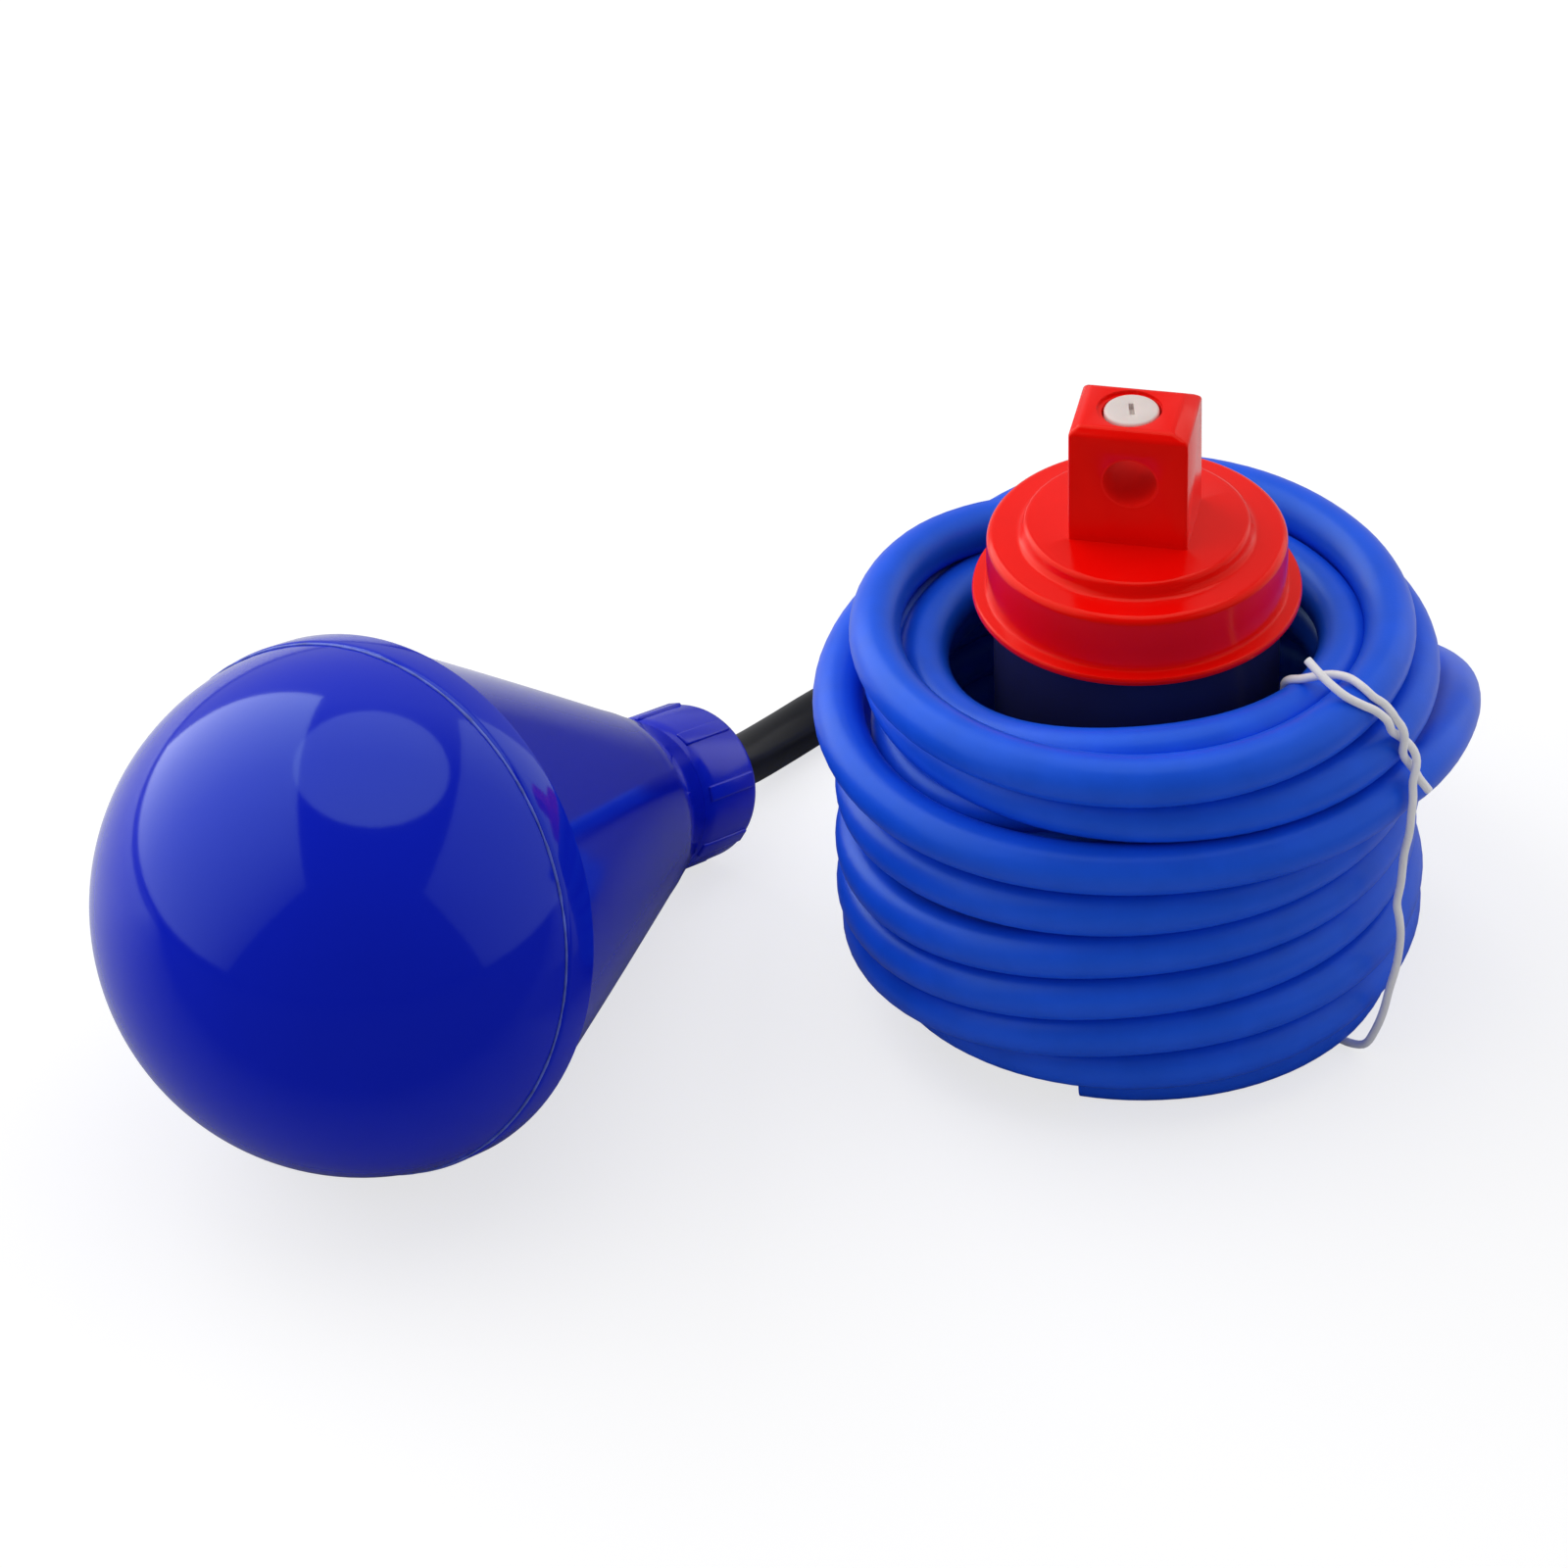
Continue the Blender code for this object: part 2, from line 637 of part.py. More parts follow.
def make_canister_lid(frame, plastic):
    spigot = CANISTER_BORE - FIT_GAP
    profile = [
        (0.0, LID_TOP),
        (spigot - CANISTER_WALL, LID_TOP),
        (spigot - CANISTER_WALL, LID_TOP + LID_SPIGOT_LENGTH),
        (spigot, LID_TOP + LID_SPIGOT_LENGTH),
        (spigot, LID_TOP),
        (CANISTER_RADIUS, LID_TOP),
        (CANISTER_RADIUS, LID_BOTTOM),
        (0.0, LID_BOTTOM),
    ]
    mesh = turned("canister_lid", profile, SMALL_STEPS, False)
    lid = add_part("canister_lid", mesh, plastic, frame)
    half = SWITCH_LENGTH / 2.0
    bracket = box(
        "switch_bracket",
        (-half, BRACKET_START, LID_TOP - LID_THICKNESS / 2.0),
        (half, BRACKET_START + BRACKET_THICKNESS, SWITCH_TOP - FIT_GAP),
    )
    boolean(lid, add_cutter("switch_bracket", bracket, frame), "UNION")
    for side in (-1, 1):
        hole = screw_hole(f"bracket_hole_{side}", side)
        boolean(lid, add_cutter(f"bracket_hole_{side}", hole, frame), "DIFFERENCE")


def screw_hole(name, side):
    reach = SWITCH_THICKNESS + BRACKET_THICKNESS
    x = side * SCREW_SPACING / 2.0
    radius = SCREW_SHANK_RADIUS + FIT_GAP
    return cylinder(name, radius, (x, -reach, SCREW_HEIGHT), (x, reach, SCREW_HEIGHT), TINY_STEPS)


def make_ball_race(frame, plastic, passage):
    flange_radius = CANISTER_BORE - FIT_GAP
    flange_top = RACE_BOTTOM + RACE_FLANGE_THICKNESS
    flange = cylinder(
        "ball_race", flange_radius, (0, 0, RACE_BOTTOM), (0, 0, flange_top), SMALL_STEPS
    )
    race = add_part("ball_race", flange, plastic, frame)
    x = RACE_OFFSET
    low = RACE_BOTTOM + RACE_FLANGE_THICKNESS / 2.0
    wall = cylinder("race_wall", RACE_RADIUS, (x, 0, low), (x, 0, RACE_TOP), SMALL_STEPS)
    bore = cylinder(
        "race_bore", RACE_BORE, (x, 0, RACE_BOTTOM - RACE_WALL), (x, 0, RACE_TOP + RACE_WALL),
        SMALL_STEPS,
    )
    boolean(race, add_cutter("race_wall", wall, frame), "UNION")
    boolean(race, add_cutter("race_bore", bore, frame), "DIFFERENCE")
    boolean(race, passage, "DIFFERENCE")


def make_steel_ball(frame, steel):
    shape = bmesh.new()
    bmesh.ops.create_uvsphere(
        shape, u_segments=SMALL_STEPS, v_segments=SMALL_STEPS // 2, radius=STEEL_BALL_RADIUS
    )
    mesh = bpy.data.meshes.new("steel_ball")
    shape.to_mesh(mesh)
    shape.free()
    smooth(mesh)
    ball = add_part("steel_ball", mesh, steel, frame)
    ball.location = (RACE_OFFSET, 0.0, BALL_REST)


# Microswitch: body with ears, plunger, lever on its pin, terminals and fixing screws
def make_switch_body(frame, black):
    half_length = SWITCH_LENGTH / 2.0
    half_thickness = SWITCH_THICKNESS / 2.0
    low = (-half_length, -half_thickness, SWITCH_BASE)
    high = (half_length, half_thickness, SWITCH_TOP)
    body = add_part("switch_body", box("switch_body", low, high), black, frame)
    ear_start = LEVER_WIDTH / 2.0 + FIT_GAP
    for side in (-1, 1):
        faces = sorted((side * ear_start, side * half_thickness))
        ear = box(
            f"switch_ear_{side}",
            (-LEVER_PIVOT_OFFSET - EAR_WIDTH / 2.0, faces[0], SWITCH_TOP - LEVER_PIVOT_RISE),
            (-LEVER_PIVOT_OFFSET + EAR_WIDTH / 2.0, faces[1], LEVER_PIVOT + EAR_WIDTH / 2.0),
        )
        boolean(body, add_cutter(f"switch_ear_{side}", ear, frame), "UNION")
    pin_hole = cylinder(
        "pin_hole",
        LEVER_PIN_RADIUS + LEVER_PIN_CLEARANCE,
        (-LEVER_PIVOT_OFFSET, -SWITCH_THICKNESS, LEVER_PIVOT),
        (-LEVER_PIVOT_OFFSET, SWITCH_THICKNESS, LEVER_PIVOT),
        TINY_STEPS,
    )
    boolean(body, add_cutter("pin_hole", pin_hole, frame), "DIFFERENCE")
    x = plunger_x()
    plunger_bore = cylinder(
        "plunger_bore",
        PLUNGER_RADIUS + FIT_GAP,
        (x, 0, SWITCH_TOP - PLUNGER_DEPTH - PLUNGER_TRAVEL - FIT_GAP),
        (x, 0, SWITCH_TOP + PLUNGER_TRAVEL),
        TINY_STEPS,
    )
    boolean(body, add_cutter("plunger_bore", plunger_bore, frame), "DIFFERENCE")
    for side in (-1, 1):
        hole = add_cutter(f"switch_hole_{side}", screw_hole(f"switch_hole_{side}", side), frame)
        boolean(body, hole, "DIFFERENCE")


def plunger_x():
    return PLUNGER_ARM - LEVER_PIVOT_OFFSET


def lever_underside(distance):
    """Height of the free lever's underside at a distance from its pivot."""
    slope = math.radians(LEVER_FREE_DEGREES)
    return LEVER_PIVOT + distance * math.tan(slope) - LEVER_THICKNESS / 2.0 / math.cos(slope)


def make_plunger(frame, nylon):
    top = lever_underside(PLUNGER_ARM) - FIT_GAP
    bottom = SWITCH_TOP - PLUNGER_DEPTH
    rounding = PLUNGER_RADIUS / 2.0
    profile = [
        (0.0, top - bottom),
        (PLUNGER_RADIUS - rounding, top - bottom),
        (PLUNGER_RADIUS, top - bottom - rounding),
        (PLUNGER_RADIUS, 0.0),
        (0.0, 0.0),
    ]
    mesh = turned("switch_plunger", profile, TINY_STEPS, False)
    plunger = add_part("switch_plunger", mesh, nylon, frame)
    plunger.location = (plunger_x(), 0.0, bottom)


def make_lever(frame, steel):
    """A flat blade whose rolled eye turns on the pin. Its origin is the pivot."""
    half_width = LEVER_WIDTH / 2.0
    eye = cylinder(
        "switch_lever", LEVER_EYE_RADIUS, (0, -half_width, 0), (0, half_width, 0), TINY_STEPS
    )
    lever = add_part("switch_lever", eye, steel, frame)
    lever.location = (-LEVER_PIVOT_OFFSET, 0.0, LEVER_PIVOT)
    start = LEVER_PIN_RADIUS + LEVER_PIN_CLEARANCE / 2.0
    blade = box(
        "lever_blade",
        (start, -half_width, -LEVER_THICKNESS / 2.0),
        (LEVER_LENGTH, half_width, LEVER_THICKNESS / 2.0),
    )
    blade.transform(Matrix.Rotation(-math.radians(LEVER_FREE_DEGREES), 4, "Y"))
    bore = cylinder(
        "lever_bore",
        LEVER_PIN_RADIUS + LEVER_PIN_CLEARANCE,
        (0, -LEVER_WIDTH, 0),
        (0, LEVER_WIDTH, 0),
        TINY_STEPS,
    )
    boolean(lever, add_cutter("lever_blade", blade, lever), "UNION")
    boolean(lever, add_cutter("lever_bore", bore, lever), "DIFFERENCE")


def make_lever_pin(frame, steel):
    half = SWITCH_THICKNESS / 2.0
    x = -LEVER_PIVOT_OFFSET
    pin = cylinder(
        "lever_pin", LEVER_PIN_RADIUS, (x, -half, LEVER_PIVOT), (x, half, LEVER_PIVOT), TINY_STEPS
    )
    add_part("lever_pin", pin, steel, frame)


def make_terminals(frame, brass):
    top = SWITCH_BASE - FIT_GAP
    half_width = TERMINAL_WIDTH / 2.0
    half_thickness = TERMINAL_THICKNESS / 2.0
    for i, name in enumerate(("terminal_common", "terminal_open", "terminal_closed")):
        x = (i - 1) * TERMINAL_SPACING
        low = (x - half_width, -half_thickness, top - TERMINAL_LENGTH)
        high = (x + half_width, half_thickness, top)
        add_part(name, box(name, low, high), brass, frame)


def make_switch_screws(frame, steel):
    head_start = -SWITCH_THICKNESS / 2.0 - FIT_GAP
    end = BRACKET_START + BRACKET_THICKNESS - FIT_GAP
    profile = [
        (0.0, end),
        (SCREW_SHANK_RADIUS, end),
        (SCREW_SHANK_RADIUS, head_start),
        (SCREW_HEAD_RADIUS, head_start),
        (SCREW_HEAD_RADIUS, head_start - SCREW_HEAD_HEIGHT),
        (0.0, head_start - SCREW_HEAD_HEIGHT),
    ]
    for i, side in enumerate((-1, 1)):
        name = f"switch_screw_{i + 1}"
        screw = add_part(name, turned(name, profile, TINY_STEPS, False), steel, frame)
        screw.location = (side * SCREW_SPACING / 2.0, 0.0, SCREW_HEIGHT)
        screw.rotation_euler = (-math.pi / 2.0, 0.0, 0.0)


def make_core_wires(frame, insulation):
    """Three cores from the cable's end, through the wire passage, to the terminals."""
    joint = SWITCH_BASE - FIT_GAP - TERMINAL_LENGTH * WIRE_LAND_SHARE
    face = -TERMINAL_THICKNESS / 2.0 - FIT_GAP
    start = SLEEVE_START - FIT_GAP
    ledge = CANISTER_END_FROM_CENTRE + LEDGE_THICKNESS
    run = start - ledge
    y = -PASSAGE_OFFSET
    for i, name in enumerate(("core_wire_brown", "core_wire_blue", "core_wire_black")):
        side = i - 1
        x = side * WIRE_SPACING
        target = side * TERMINAL_SPACING
        lay = (side * WIRE_LAY_RADIUS, -WIRE_LAY_DROP if side == 0 else 0.0)
        route = [
            (*lay, start),
            (*lay, start - WIRE_STRAIGHT_SHARE * run),
            (x, y / 2.0, start - WIRE_MIDDLE_SHARE * run),
            (x, y, start - WIRE_ENTRY_SHARE * run),
            (x, y, (ledge + RACE_BOTTOM) / 2.0),
            (x, y, RACE_BOTTOM + WIRE_TAIL_ABOVE_RACE),
            (x, y, RACE_BOTTOM - WIRE_TAIL_BELOW_RACE),
        ]
        for across, back, rise in WIRE_SWEEP:
            route.append((x + (target - x) * across, y * back, joint + rise))
        route.append((target, face, joint))
        mesh = tube(name, smooth_route(route, WIRE_POINT_SPACING), WIRE_RADIUS, WIRE_BEVEL)
        add_part(name, mesh, insulation[i], frame)


# Counterweight: case, iron slug and the cap with its clamping head
def make_weight_case(plastic):
    bore = WEIGHT_RADIUS - WEIGHT_WALL
    profile = [
        (0.0, WEIGHT_FLOOR),
        (bore, WEIGHT_FLOOR),
        (bore, WEIGHT_HEIGHT),
        (WEIGHT_RADIUS, WEIGHT_HEIGHT),
        (WEIGHT_RADIUS, FOOT_CHAMFER),
        (WEIGHT_RADIUS - FOOT_CHAMFER, 0.0),
        (0.0, 0.0),
    ]
    add_part("weight_case", turned("weight_case", profile, LARGE_STEPS, False), plastic)


def make_weight_slug(iron):
    radius = WEIGHT_RADIUS - WEIGHT_WALL - FIT_GAP
    bottom = WEIGHT_FLOOR + FIT_GAP
    top = FLANGE_BOTTOM - SPIGOT_LENGTH - FIT_GAP
    profile = [
        (0.0, top),
        (radius - FOOT_CHAMFER, top),
        (radius, top - FOOT_CHAMFER),
        (radius, bottom + FOOT_CHAMFER),
        (radius - FOOT_CHAMFER, bottom),
        (0.0, bottom),
    ]
    add_part("weight_slug", turned("weight_slug", profile, SMALL_STEPS, False), iron)


def make_weight_cap(red):
    spigot_outer = WEIGHT_RADIUS - WEIGHT_WALL - FIT_GAP
    spigot_inner = spigot_outer - SPIGOT_WALL
    spigot_bottom = FLANGE_BOTTOM - SPIGOT_LENGTH
    lip = FLANGE_THICKNESS / 3.0
    edge = CAP_EDGE_ROUNDING
    profile = [
        (0.0, PLATEAU_TOP),
        (PLATEAU_RADIUS - PLATEAU_RISE / 6.0, PLATEAU_TOP),
        (PLATEAU_RADIUS, PLATEAU_TOP - PLATEAU_RISE / 6.0),
        (PLATEAU_FOOT_RADIUS, CAP_TOP),
        (CAP_TOP_RADIUS - edge, CAP_TOP),
        (CAP_TOP_RADIUS - ROUND_MIDDLE * edge, CAP_TOP - ROUND_MIDDLE * edge),
        (CAP_TOP_RADIUS, CAP_TOP - edge),
        (CAP_BASE_RADIUS, FLANGE_TOP),
        (FLANGE_RADIUS - lip, FLANGE_TOP),
        (FLANGE_RADIUS, FLANGE_TOP - lip),
        (FLANGE_RADIUS, FLANGE_BOTTOM),
        (spigot_outer, FLANGE_BOTTOM),
        (spigot_outer, spigot_bottom),
        (spigot_inner, spigot_bottom),
        (spigot_inner, CAP_TOP - CAP_SKIN),
        (0.0, CAP_TOP - CAP_SKIN),
    ]
    cap = add_part("weight_cap", turned("weight_cap", profile, LARGE_STEPS, False), red)
    place = Matrix.Translation((HEAD_OFFSET, 0.0, 0.0))
    place = place @ Matrix.Rotation(math.radians(HEAD_TURN_DEGREES), 4, "Z")
    head = clamping_head()
    head.transform(place)
    hole_reach = HEAD_DEPTH
    hole = cylinder(
        "cable_hole",
        CABLE_HOLE_RADIUS,
        (0, -hole_reach, CABLE_HOLE_HEIGHT),
        (0, hole_reach, CABLE_HOLE_HEIGHT),
        SMALL_STEPS,
    )
    hole.transform(place)
    screw_bore = cylinder(
        "clamp_screw_bore",
        CLAMP_SCREW_RADIUS + FIT_GAP,
        (CLAMP_SCREW_OFFSET, 0, CABLE_HOLE_HEIGHT),
        (CLAMP_SCREW_OFFSET, 0, HEAD_TOP + CABLE_HOLE_RADIUS),
        SMALL_STEPS,
    )
    boolean(cap, add_cutter("clamping_head", head), "UNION")
    boolean(cap, add_cutter("cable_hole", hole), "DIFFERENCE")
    boolean(cap, add_cutter("clamp_screw_bore", screw_bore), "DIFFERENCE")


def clamping_head():
    """A square block with drafted sides, rounded upright edges and a rounded top edge."""
    root = PLATEAU_TOP - CAP_SKIN / 2.0
    levels = (
        (root, 0.0),
        (HEAD_TOP - HEAD_TOP_ROUNDING, HEAD_DRAFT),
        (HEAD_TOP - ROUND_MIDDLE * HEAD_TOP_ROUNDING, HEAD_DRAFT + ROUND_MIDDLE * HEAD_TOP_ROUNDING),
        (HEAD_TOP, HEAD_DRAFT + HEAD_TOP_ROUNDING),
    )
    shape = bmesh.new()
    rings = []
    for height, inset in levels:
        outline = rounded_rectangle(HEAD_WIDTH / 2.0 - inset, HEAD_DEPTH / 2.0 - inset)
        rings.append([shape.verts.new((x, y, height)) for x, y in outline])
    for lower, upper in zip(rings, rings[1:]):
        for i, corner in enumerate(lower):
            j = (i + 1) % len(lower)
            shape.faces.new((corner, lower[j], upper[j], upper[i]))
    shape.faces.new(reversed(rings[0]))
    shape.faces.new(rings[-1])
    mesh = bpy.data.meshes.new("clamping_head")
    shape.to_mesh(mesh)
    shape.free()
    return mesh


def rounded_rectangle(half_width, half_depth):
    """Outline seen from above, anticlockwise, with the head's rounded upright edges."""
    points = []
    radius = HEAD_EDGE_ROUNDING
    for quarter, signs in enumerate(((1, 1), (-1, 1), (-1, -1), (1, -1))):
        for share in (0.0, 0.5, 1.0):
            angle = (quarter + share) * math.pi / 2.0
            x = signs[0] * (half_width - radius) + radius * math.cos(angle)
            y = signs[1] * (half_depth - radius) + radius * math.sin(angle)
            points.append((x, y))
    return points


def make_clamp_screw(nylon):
    """Slotted nylon screw that grips the cable where it runs through the head."""
    top = HEAD_TOP - CLAMP_SCREW_RECESS
    chamfer = CLAMP_SLOT_WIDTH / 3.0
    profile = [
        (0.0, top),
        (CLAMP_SCREW_RADIUS - chamfer, top),
        (CLAMP_SCREW_RADIUS, top - chamfer),
        (CLAMP_SCREW_RADIUS, top - CLAMP_SCREW_LENGTH + chamfer),
        (CLAMP_SCREW_RADIUS - chamfer, top - CLAMP_SCREW_LENGTH),
        (0.0, top - CLAMP_SCREW_LENGTH),
    ]
    screw = add_part("clamp_screw", turned("clamp_screw", profile, SMALL_STEPS, False), nylon)
    slot = box(
        "clamp_slot",
        (-CLAMP_SLOT_WIDTH / 2.0, -CLAMP_SLOT_LENGTH / 2.0, top - CLAMP_SLOT_DEPTH),
        (CLAMP_SLOT_WIDTH / 2.0, CLAMP_SLOT_LENGTH / 2.0, top + CLAMP_SLOT_DEPTH),
    )
    boolean(screw, add_cutter("clamp_slot", slot, screw), "DIFFERENCE")
    screw.location = (CLAMP_SCREW_OFFSET, 0.0, 0.0)


# Cable: black sleeve, lead round the coil's shoulder, the coil itself and its tie
def cable_route(float_place):
    """The whole route from inside the float to the end of the turn round the coil."""
    run = NUT_END + CABLE_RADIUS - SLEEVE_START
    straight = [SLEEVE_START + run * i / (STRAIGHT_MARKS - 1) for i in range(STRAIGHT_MARKS)]
    route = [float_place @ Vector((0, 0, distance)) for distance in straight]
    route += [Vector(point) for point in SLEEVE_ROUTE + LEAD_ROUTE]
    for i in range(LEAD_TURN_MARKS + 1):
        share = i / LEAD_TURN_MARKS
        degrees = LEAD_TURN_START_DEGREES * (1.0 - share) + LEAD_TURN_END_DEGREES * share
        angle = math.radians(degrees)
        x = LEAD_TURN_CENTRE_X + LEAD_TURN_RADIUS * math.cos(angle)
        y = LEAD_TURN_CENTRE_Y + LEAD_TURN_RADIUS * math.sin(angle)
        route.append(Vector((x, y, LEAD_HEIGHT)))
    return route


def make_cable(float_place, black, blue):
    """The sleeve and the bare lead follow one curve and meet square, end to end."""
    marks = cable_route(float_place)
    end = marks[STRAIGHT_MARKS + len(SLEEVE_ROUTE) - 1]
    route = smooth_route(marks, CORD_POINT_SPACING)
    nearest = min(range(len(route)), key=lambda i: (route[i] - end).length)
    along = (route[nearest + 1] - route[nearest - 1]).normalized()
    middle = route[nearest]
    stub = CABLE_RADIUS * along
    sleeve = route[:nearest] + [middle - stub, middle]
    add_part("cable_sleeve", tube("cable_sleeve", sleeve, SLEEVE_RADIUS, CABLE_BEVEL), black)
    start = middle + FIT_GAP * along
    lead = [start, start + stub] + route[nearest + 1 :]
    add_part("cable_lead", tube("cable_lead", lead, CABLE_RADIUS, CABLE_BEVEL), blue)


def coil_profile():
    """Outer shape of the wound turns, bottom to top, with the lead's groove left free."""
    points = []
    top_turn = len(COIL_TURN_RADII) - 1
    for i, radius in enumerate(COIL_TURN_RADII):
        height = CABLE_RADIUS + i * CABLE_DIAMETER
        if radius is None:
            low = height - CABLE_RADIUS - FIT_GAP
            high = height + CABLE_RADIUS + FIT_GAP
            points += [(LEAD_GROOVE_RADIUS, low), (LEAD_GROOVE_RADIUS, high)]
            continue
        start = COIL_CREASE_DEGREES[i == 0 or COIL_TURN_RADII[i - 1] is None]
        end = COIL_CREASE_DEGREES[i == top_turn or COIL_TURN_RADII[i + 1] is None]
        for share in COIL_ARC_SHARES:
            angle = math.radians((start + end) * share - start)
            points.append(
                (radius + CABLE_RADIUS * math.cos(angle), height + CABLE_RADIUS * math.sin(angle))
            )
    top = CABLE_DIAMETER * len(COIL_TURN_RADII)
    inner_turn = COIL_HOLE_RADIUS + CABLE_RADIUS
    points += [
        (inner_turn + CABLE_RADIUS, top - CABLE_RADIUS / 2.0),
        (inner_turn, top),
        (COIL_HOLE_RADIUS, top - CABLE_RADIUS),
        (COIL_HOLE_RADIUS, CABLE_RADIUS),
        (inner_turn, 0.0),
    ]
    return points


def make_coil(blue):
    coil = add_part("cable_coil", turned("cable_coil", coil_profile(), LARGE_STEPS), blue)
    half = TIE_GROOVE_WIDTH / 2.0
    low = (0.0, -half, -TIE_GROOVE_DEPTH)
    groove = box("tie_groove", low, (TIE_GROOVE_REACH, half, TIE_GROOVE_DEPTH))
    groove.transform(Matrix.Rotation(math.radians(TIE_TURN_DEGREES), 4, "Z"))
    boolean(coil, add_cutter("tie_groove", groove), "DIFFERENCE")


def make_twist_tie(white):
    """One coated wire: down the coil's outside, under it and up through its hole, with the
    two ends wound round each other over the coil's outer edge and their tips left free."""
    loop = [(reach, 0.0, height) for reach, height in TIE_LOOP]
    route = smooth_route([*TIE_UPPER_END, *loop, *TIE_LOWER_END], TIE_POINT_SPACING)
    mesh = tube("twist_tie", route, TIE_RADIUS, WIRE_BEVEL)
    mesh.transform(Matrix.Rotation(math.radians(TIE_TURN_DEGREES), 4, "Z"))
    add_part("twist_tie", mesh, white)


def main():
    float_place = float_matrix()
    frame = bpy.data.objects.new("float_frame", None)
    bpy.context.scene.collection.objects.link(frame)
    frame.matrix_world = float_place

    float_blue = new_material("float_blue", (0.01, 0.025, 0.42), 0.12)
    cable_blue = new_material("cable_blue", (0.02, 0.115, 0.68), 0.42)
    sleeve_black = new_material("sleeve_black", (0.02, 0.02, 0.022), 0.45)
    cap_red = new_material("cap_red", (0.62, 0.004, 0.002), 0.22)
    case_navy = new_material("case_navy", (0.008, 0.009, 0.03), 0.40)
    nylon_white = new_material("nylon_white", (0.72, 0.70, 0.66), 0.45)
    canister_grey = new_material("canister_grey", (0.30, 0.31, 0.33), 0.50)
    switch_black = new_material("switch_black", (0.03, 0.03, 0.03), 0.45)
    steel = new_material("steel", (0.60, 0.61, 0.62), 0.22, 1.0)
    iron = new_material("iron", (0.18, 0.18, 0.19), 0.60, 1.0)
    brass = new_material("brass", (0.72, 0.52, 0.22), 0.30, 1.0)
    rubber = new_material("rubber", (0.02, 0.02, 0.02), 0.75)
    tie_white = new_material("tie_white", (0.80, 0.80, 0.80), 0.45)
    insulation = (
        new_material("core_brown", (0.18, 0.06, 0.02), 0.40),
        new_material("core_blue", (0.05, 0.15, 0.65), 0.40),
        new_material("core_black", (0.02, 0.02, 0.02), 0.40),
    )

    y = -PASSAGE_OFFSET
    low = (0.0, y, RACE_BOTTOM - RACE_WALL)
    high = (0.0, y, CANISTER_END_FROM_CENTRE + 2.0 * LEDGE_THICKNESS)
    passage = cylinder("wire_passage", PASSAGE_RADIUS, low, high, SMALL_STEPS)
    passage = add_cutter("wire_passage", passage, frame)

    make_float_dome(frame, float_blue)
    make_float_cone(frame, float_blue, passage)
    make_gland(frame, float_blue, rubber, nylon_white)
    make_canister(frame, canister_grey, passage)
    make_canister_lid(frame, canister_grey)
    make_ball_race(frame, nylon_white, passage)
    make_steel_ball(frame, steel)
    make_switch_body(frame, switch_black)
    make_plunger(frame, nylon_white)
    make_lever(frame, steel)
    make_lever_pin(frame, steel)
    make_terminals(frame, brass)
    make_switch_screws(frame, steel)
    make_core_wires(frame, insulation)
    make_weight_case(case_navy)
    make_weight_slug(iron)
    make_weight_cap(cap_red)
    make_clamp_screw(nylon_white)
    make_cable(float_place, sleeve_black, cable_blue)
    make_coil(cable_blue)
    make_twist_tie(tie_white)


clear_scene()
PARTS = new_collection("cable_float_switch")
CUTTERS = new_collection("cutters")
main()
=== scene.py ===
import math

import bmesh
import bpy
from mathutils import Matrix, Vector


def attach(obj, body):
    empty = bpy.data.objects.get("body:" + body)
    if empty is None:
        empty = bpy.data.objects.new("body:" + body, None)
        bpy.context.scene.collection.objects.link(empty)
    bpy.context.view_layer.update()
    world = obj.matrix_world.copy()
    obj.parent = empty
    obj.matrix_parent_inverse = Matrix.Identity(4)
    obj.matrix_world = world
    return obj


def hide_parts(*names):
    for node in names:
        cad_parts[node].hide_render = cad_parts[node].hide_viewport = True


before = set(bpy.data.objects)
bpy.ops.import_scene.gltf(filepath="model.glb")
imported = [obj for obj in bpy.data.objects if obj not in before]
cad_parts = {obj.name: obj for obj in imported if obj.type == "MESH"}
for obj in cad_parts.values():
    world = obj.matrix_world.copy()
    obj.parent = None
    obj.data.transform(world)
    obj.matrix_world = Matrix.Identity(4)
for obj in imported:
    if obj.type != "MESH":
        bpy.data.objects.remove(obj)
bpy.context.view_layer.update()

# Float. Two thick-walled blow-moulded shells of royal blue polypropylene, a dome and a cone,
# are welded at a seam just behind the ball's middle. The cone's rim stands a hair proud of the
# ball as a band, and the weld leaves a fine uneven bead all the way round.
BALL_RADIUS = 0.0376
SEAM = -0.0040
BAND_LENGTH = 0.0062
BAND_RISE = 0.00025
CONE_LENGTH = 0.0660
CONE_START = 0.0379
CONE_END = 0.0120
STEP_LINE = 0.0570
STEP_DEPTH = 0.00022
NECK_RADIUS = 0.0086
CABLE_BORE = 0.0043
NUT_END = 0.0804
NUT_FLOOR = 0.0768
NUT_RADIUS = 0.0118
NUT_END_ROUNDING = 0.0019
HEADING = math.radians(53.0)
FLOAT_CENTRE = (-0.1090, -0.0275, BALL_RADIUS)
SHELL_INSIDE = 0.0354
SHELL_WALL = 0.0022
NECK_END = 0.0720
FLOAT_BLUE = (0.0040, 0.0145, 0.560)

dip = math.asin(BALL_RADIUS / math.hypot(NUT_END - NUT_END_ROUNDING, NUT_RADIUS))
dip -= math.atan2(NUT_RADIUS, NUT_END - NUT_END_ROUNDING)
along = Vector(
    (math.cos(dip) * math.cos(HEADING), math.cos(dip) * math.sin(HEADING), -math.sin(dip))
)
aside = Vector((-math.sin(HEADING), math.cos(HEADING), 0.0))
float_place = Matrix((aside, along.cross(aside), along)).transposed().to_4x4()
float_place = Matrix.Translation(FLOAT_CENTRE) @ float_place


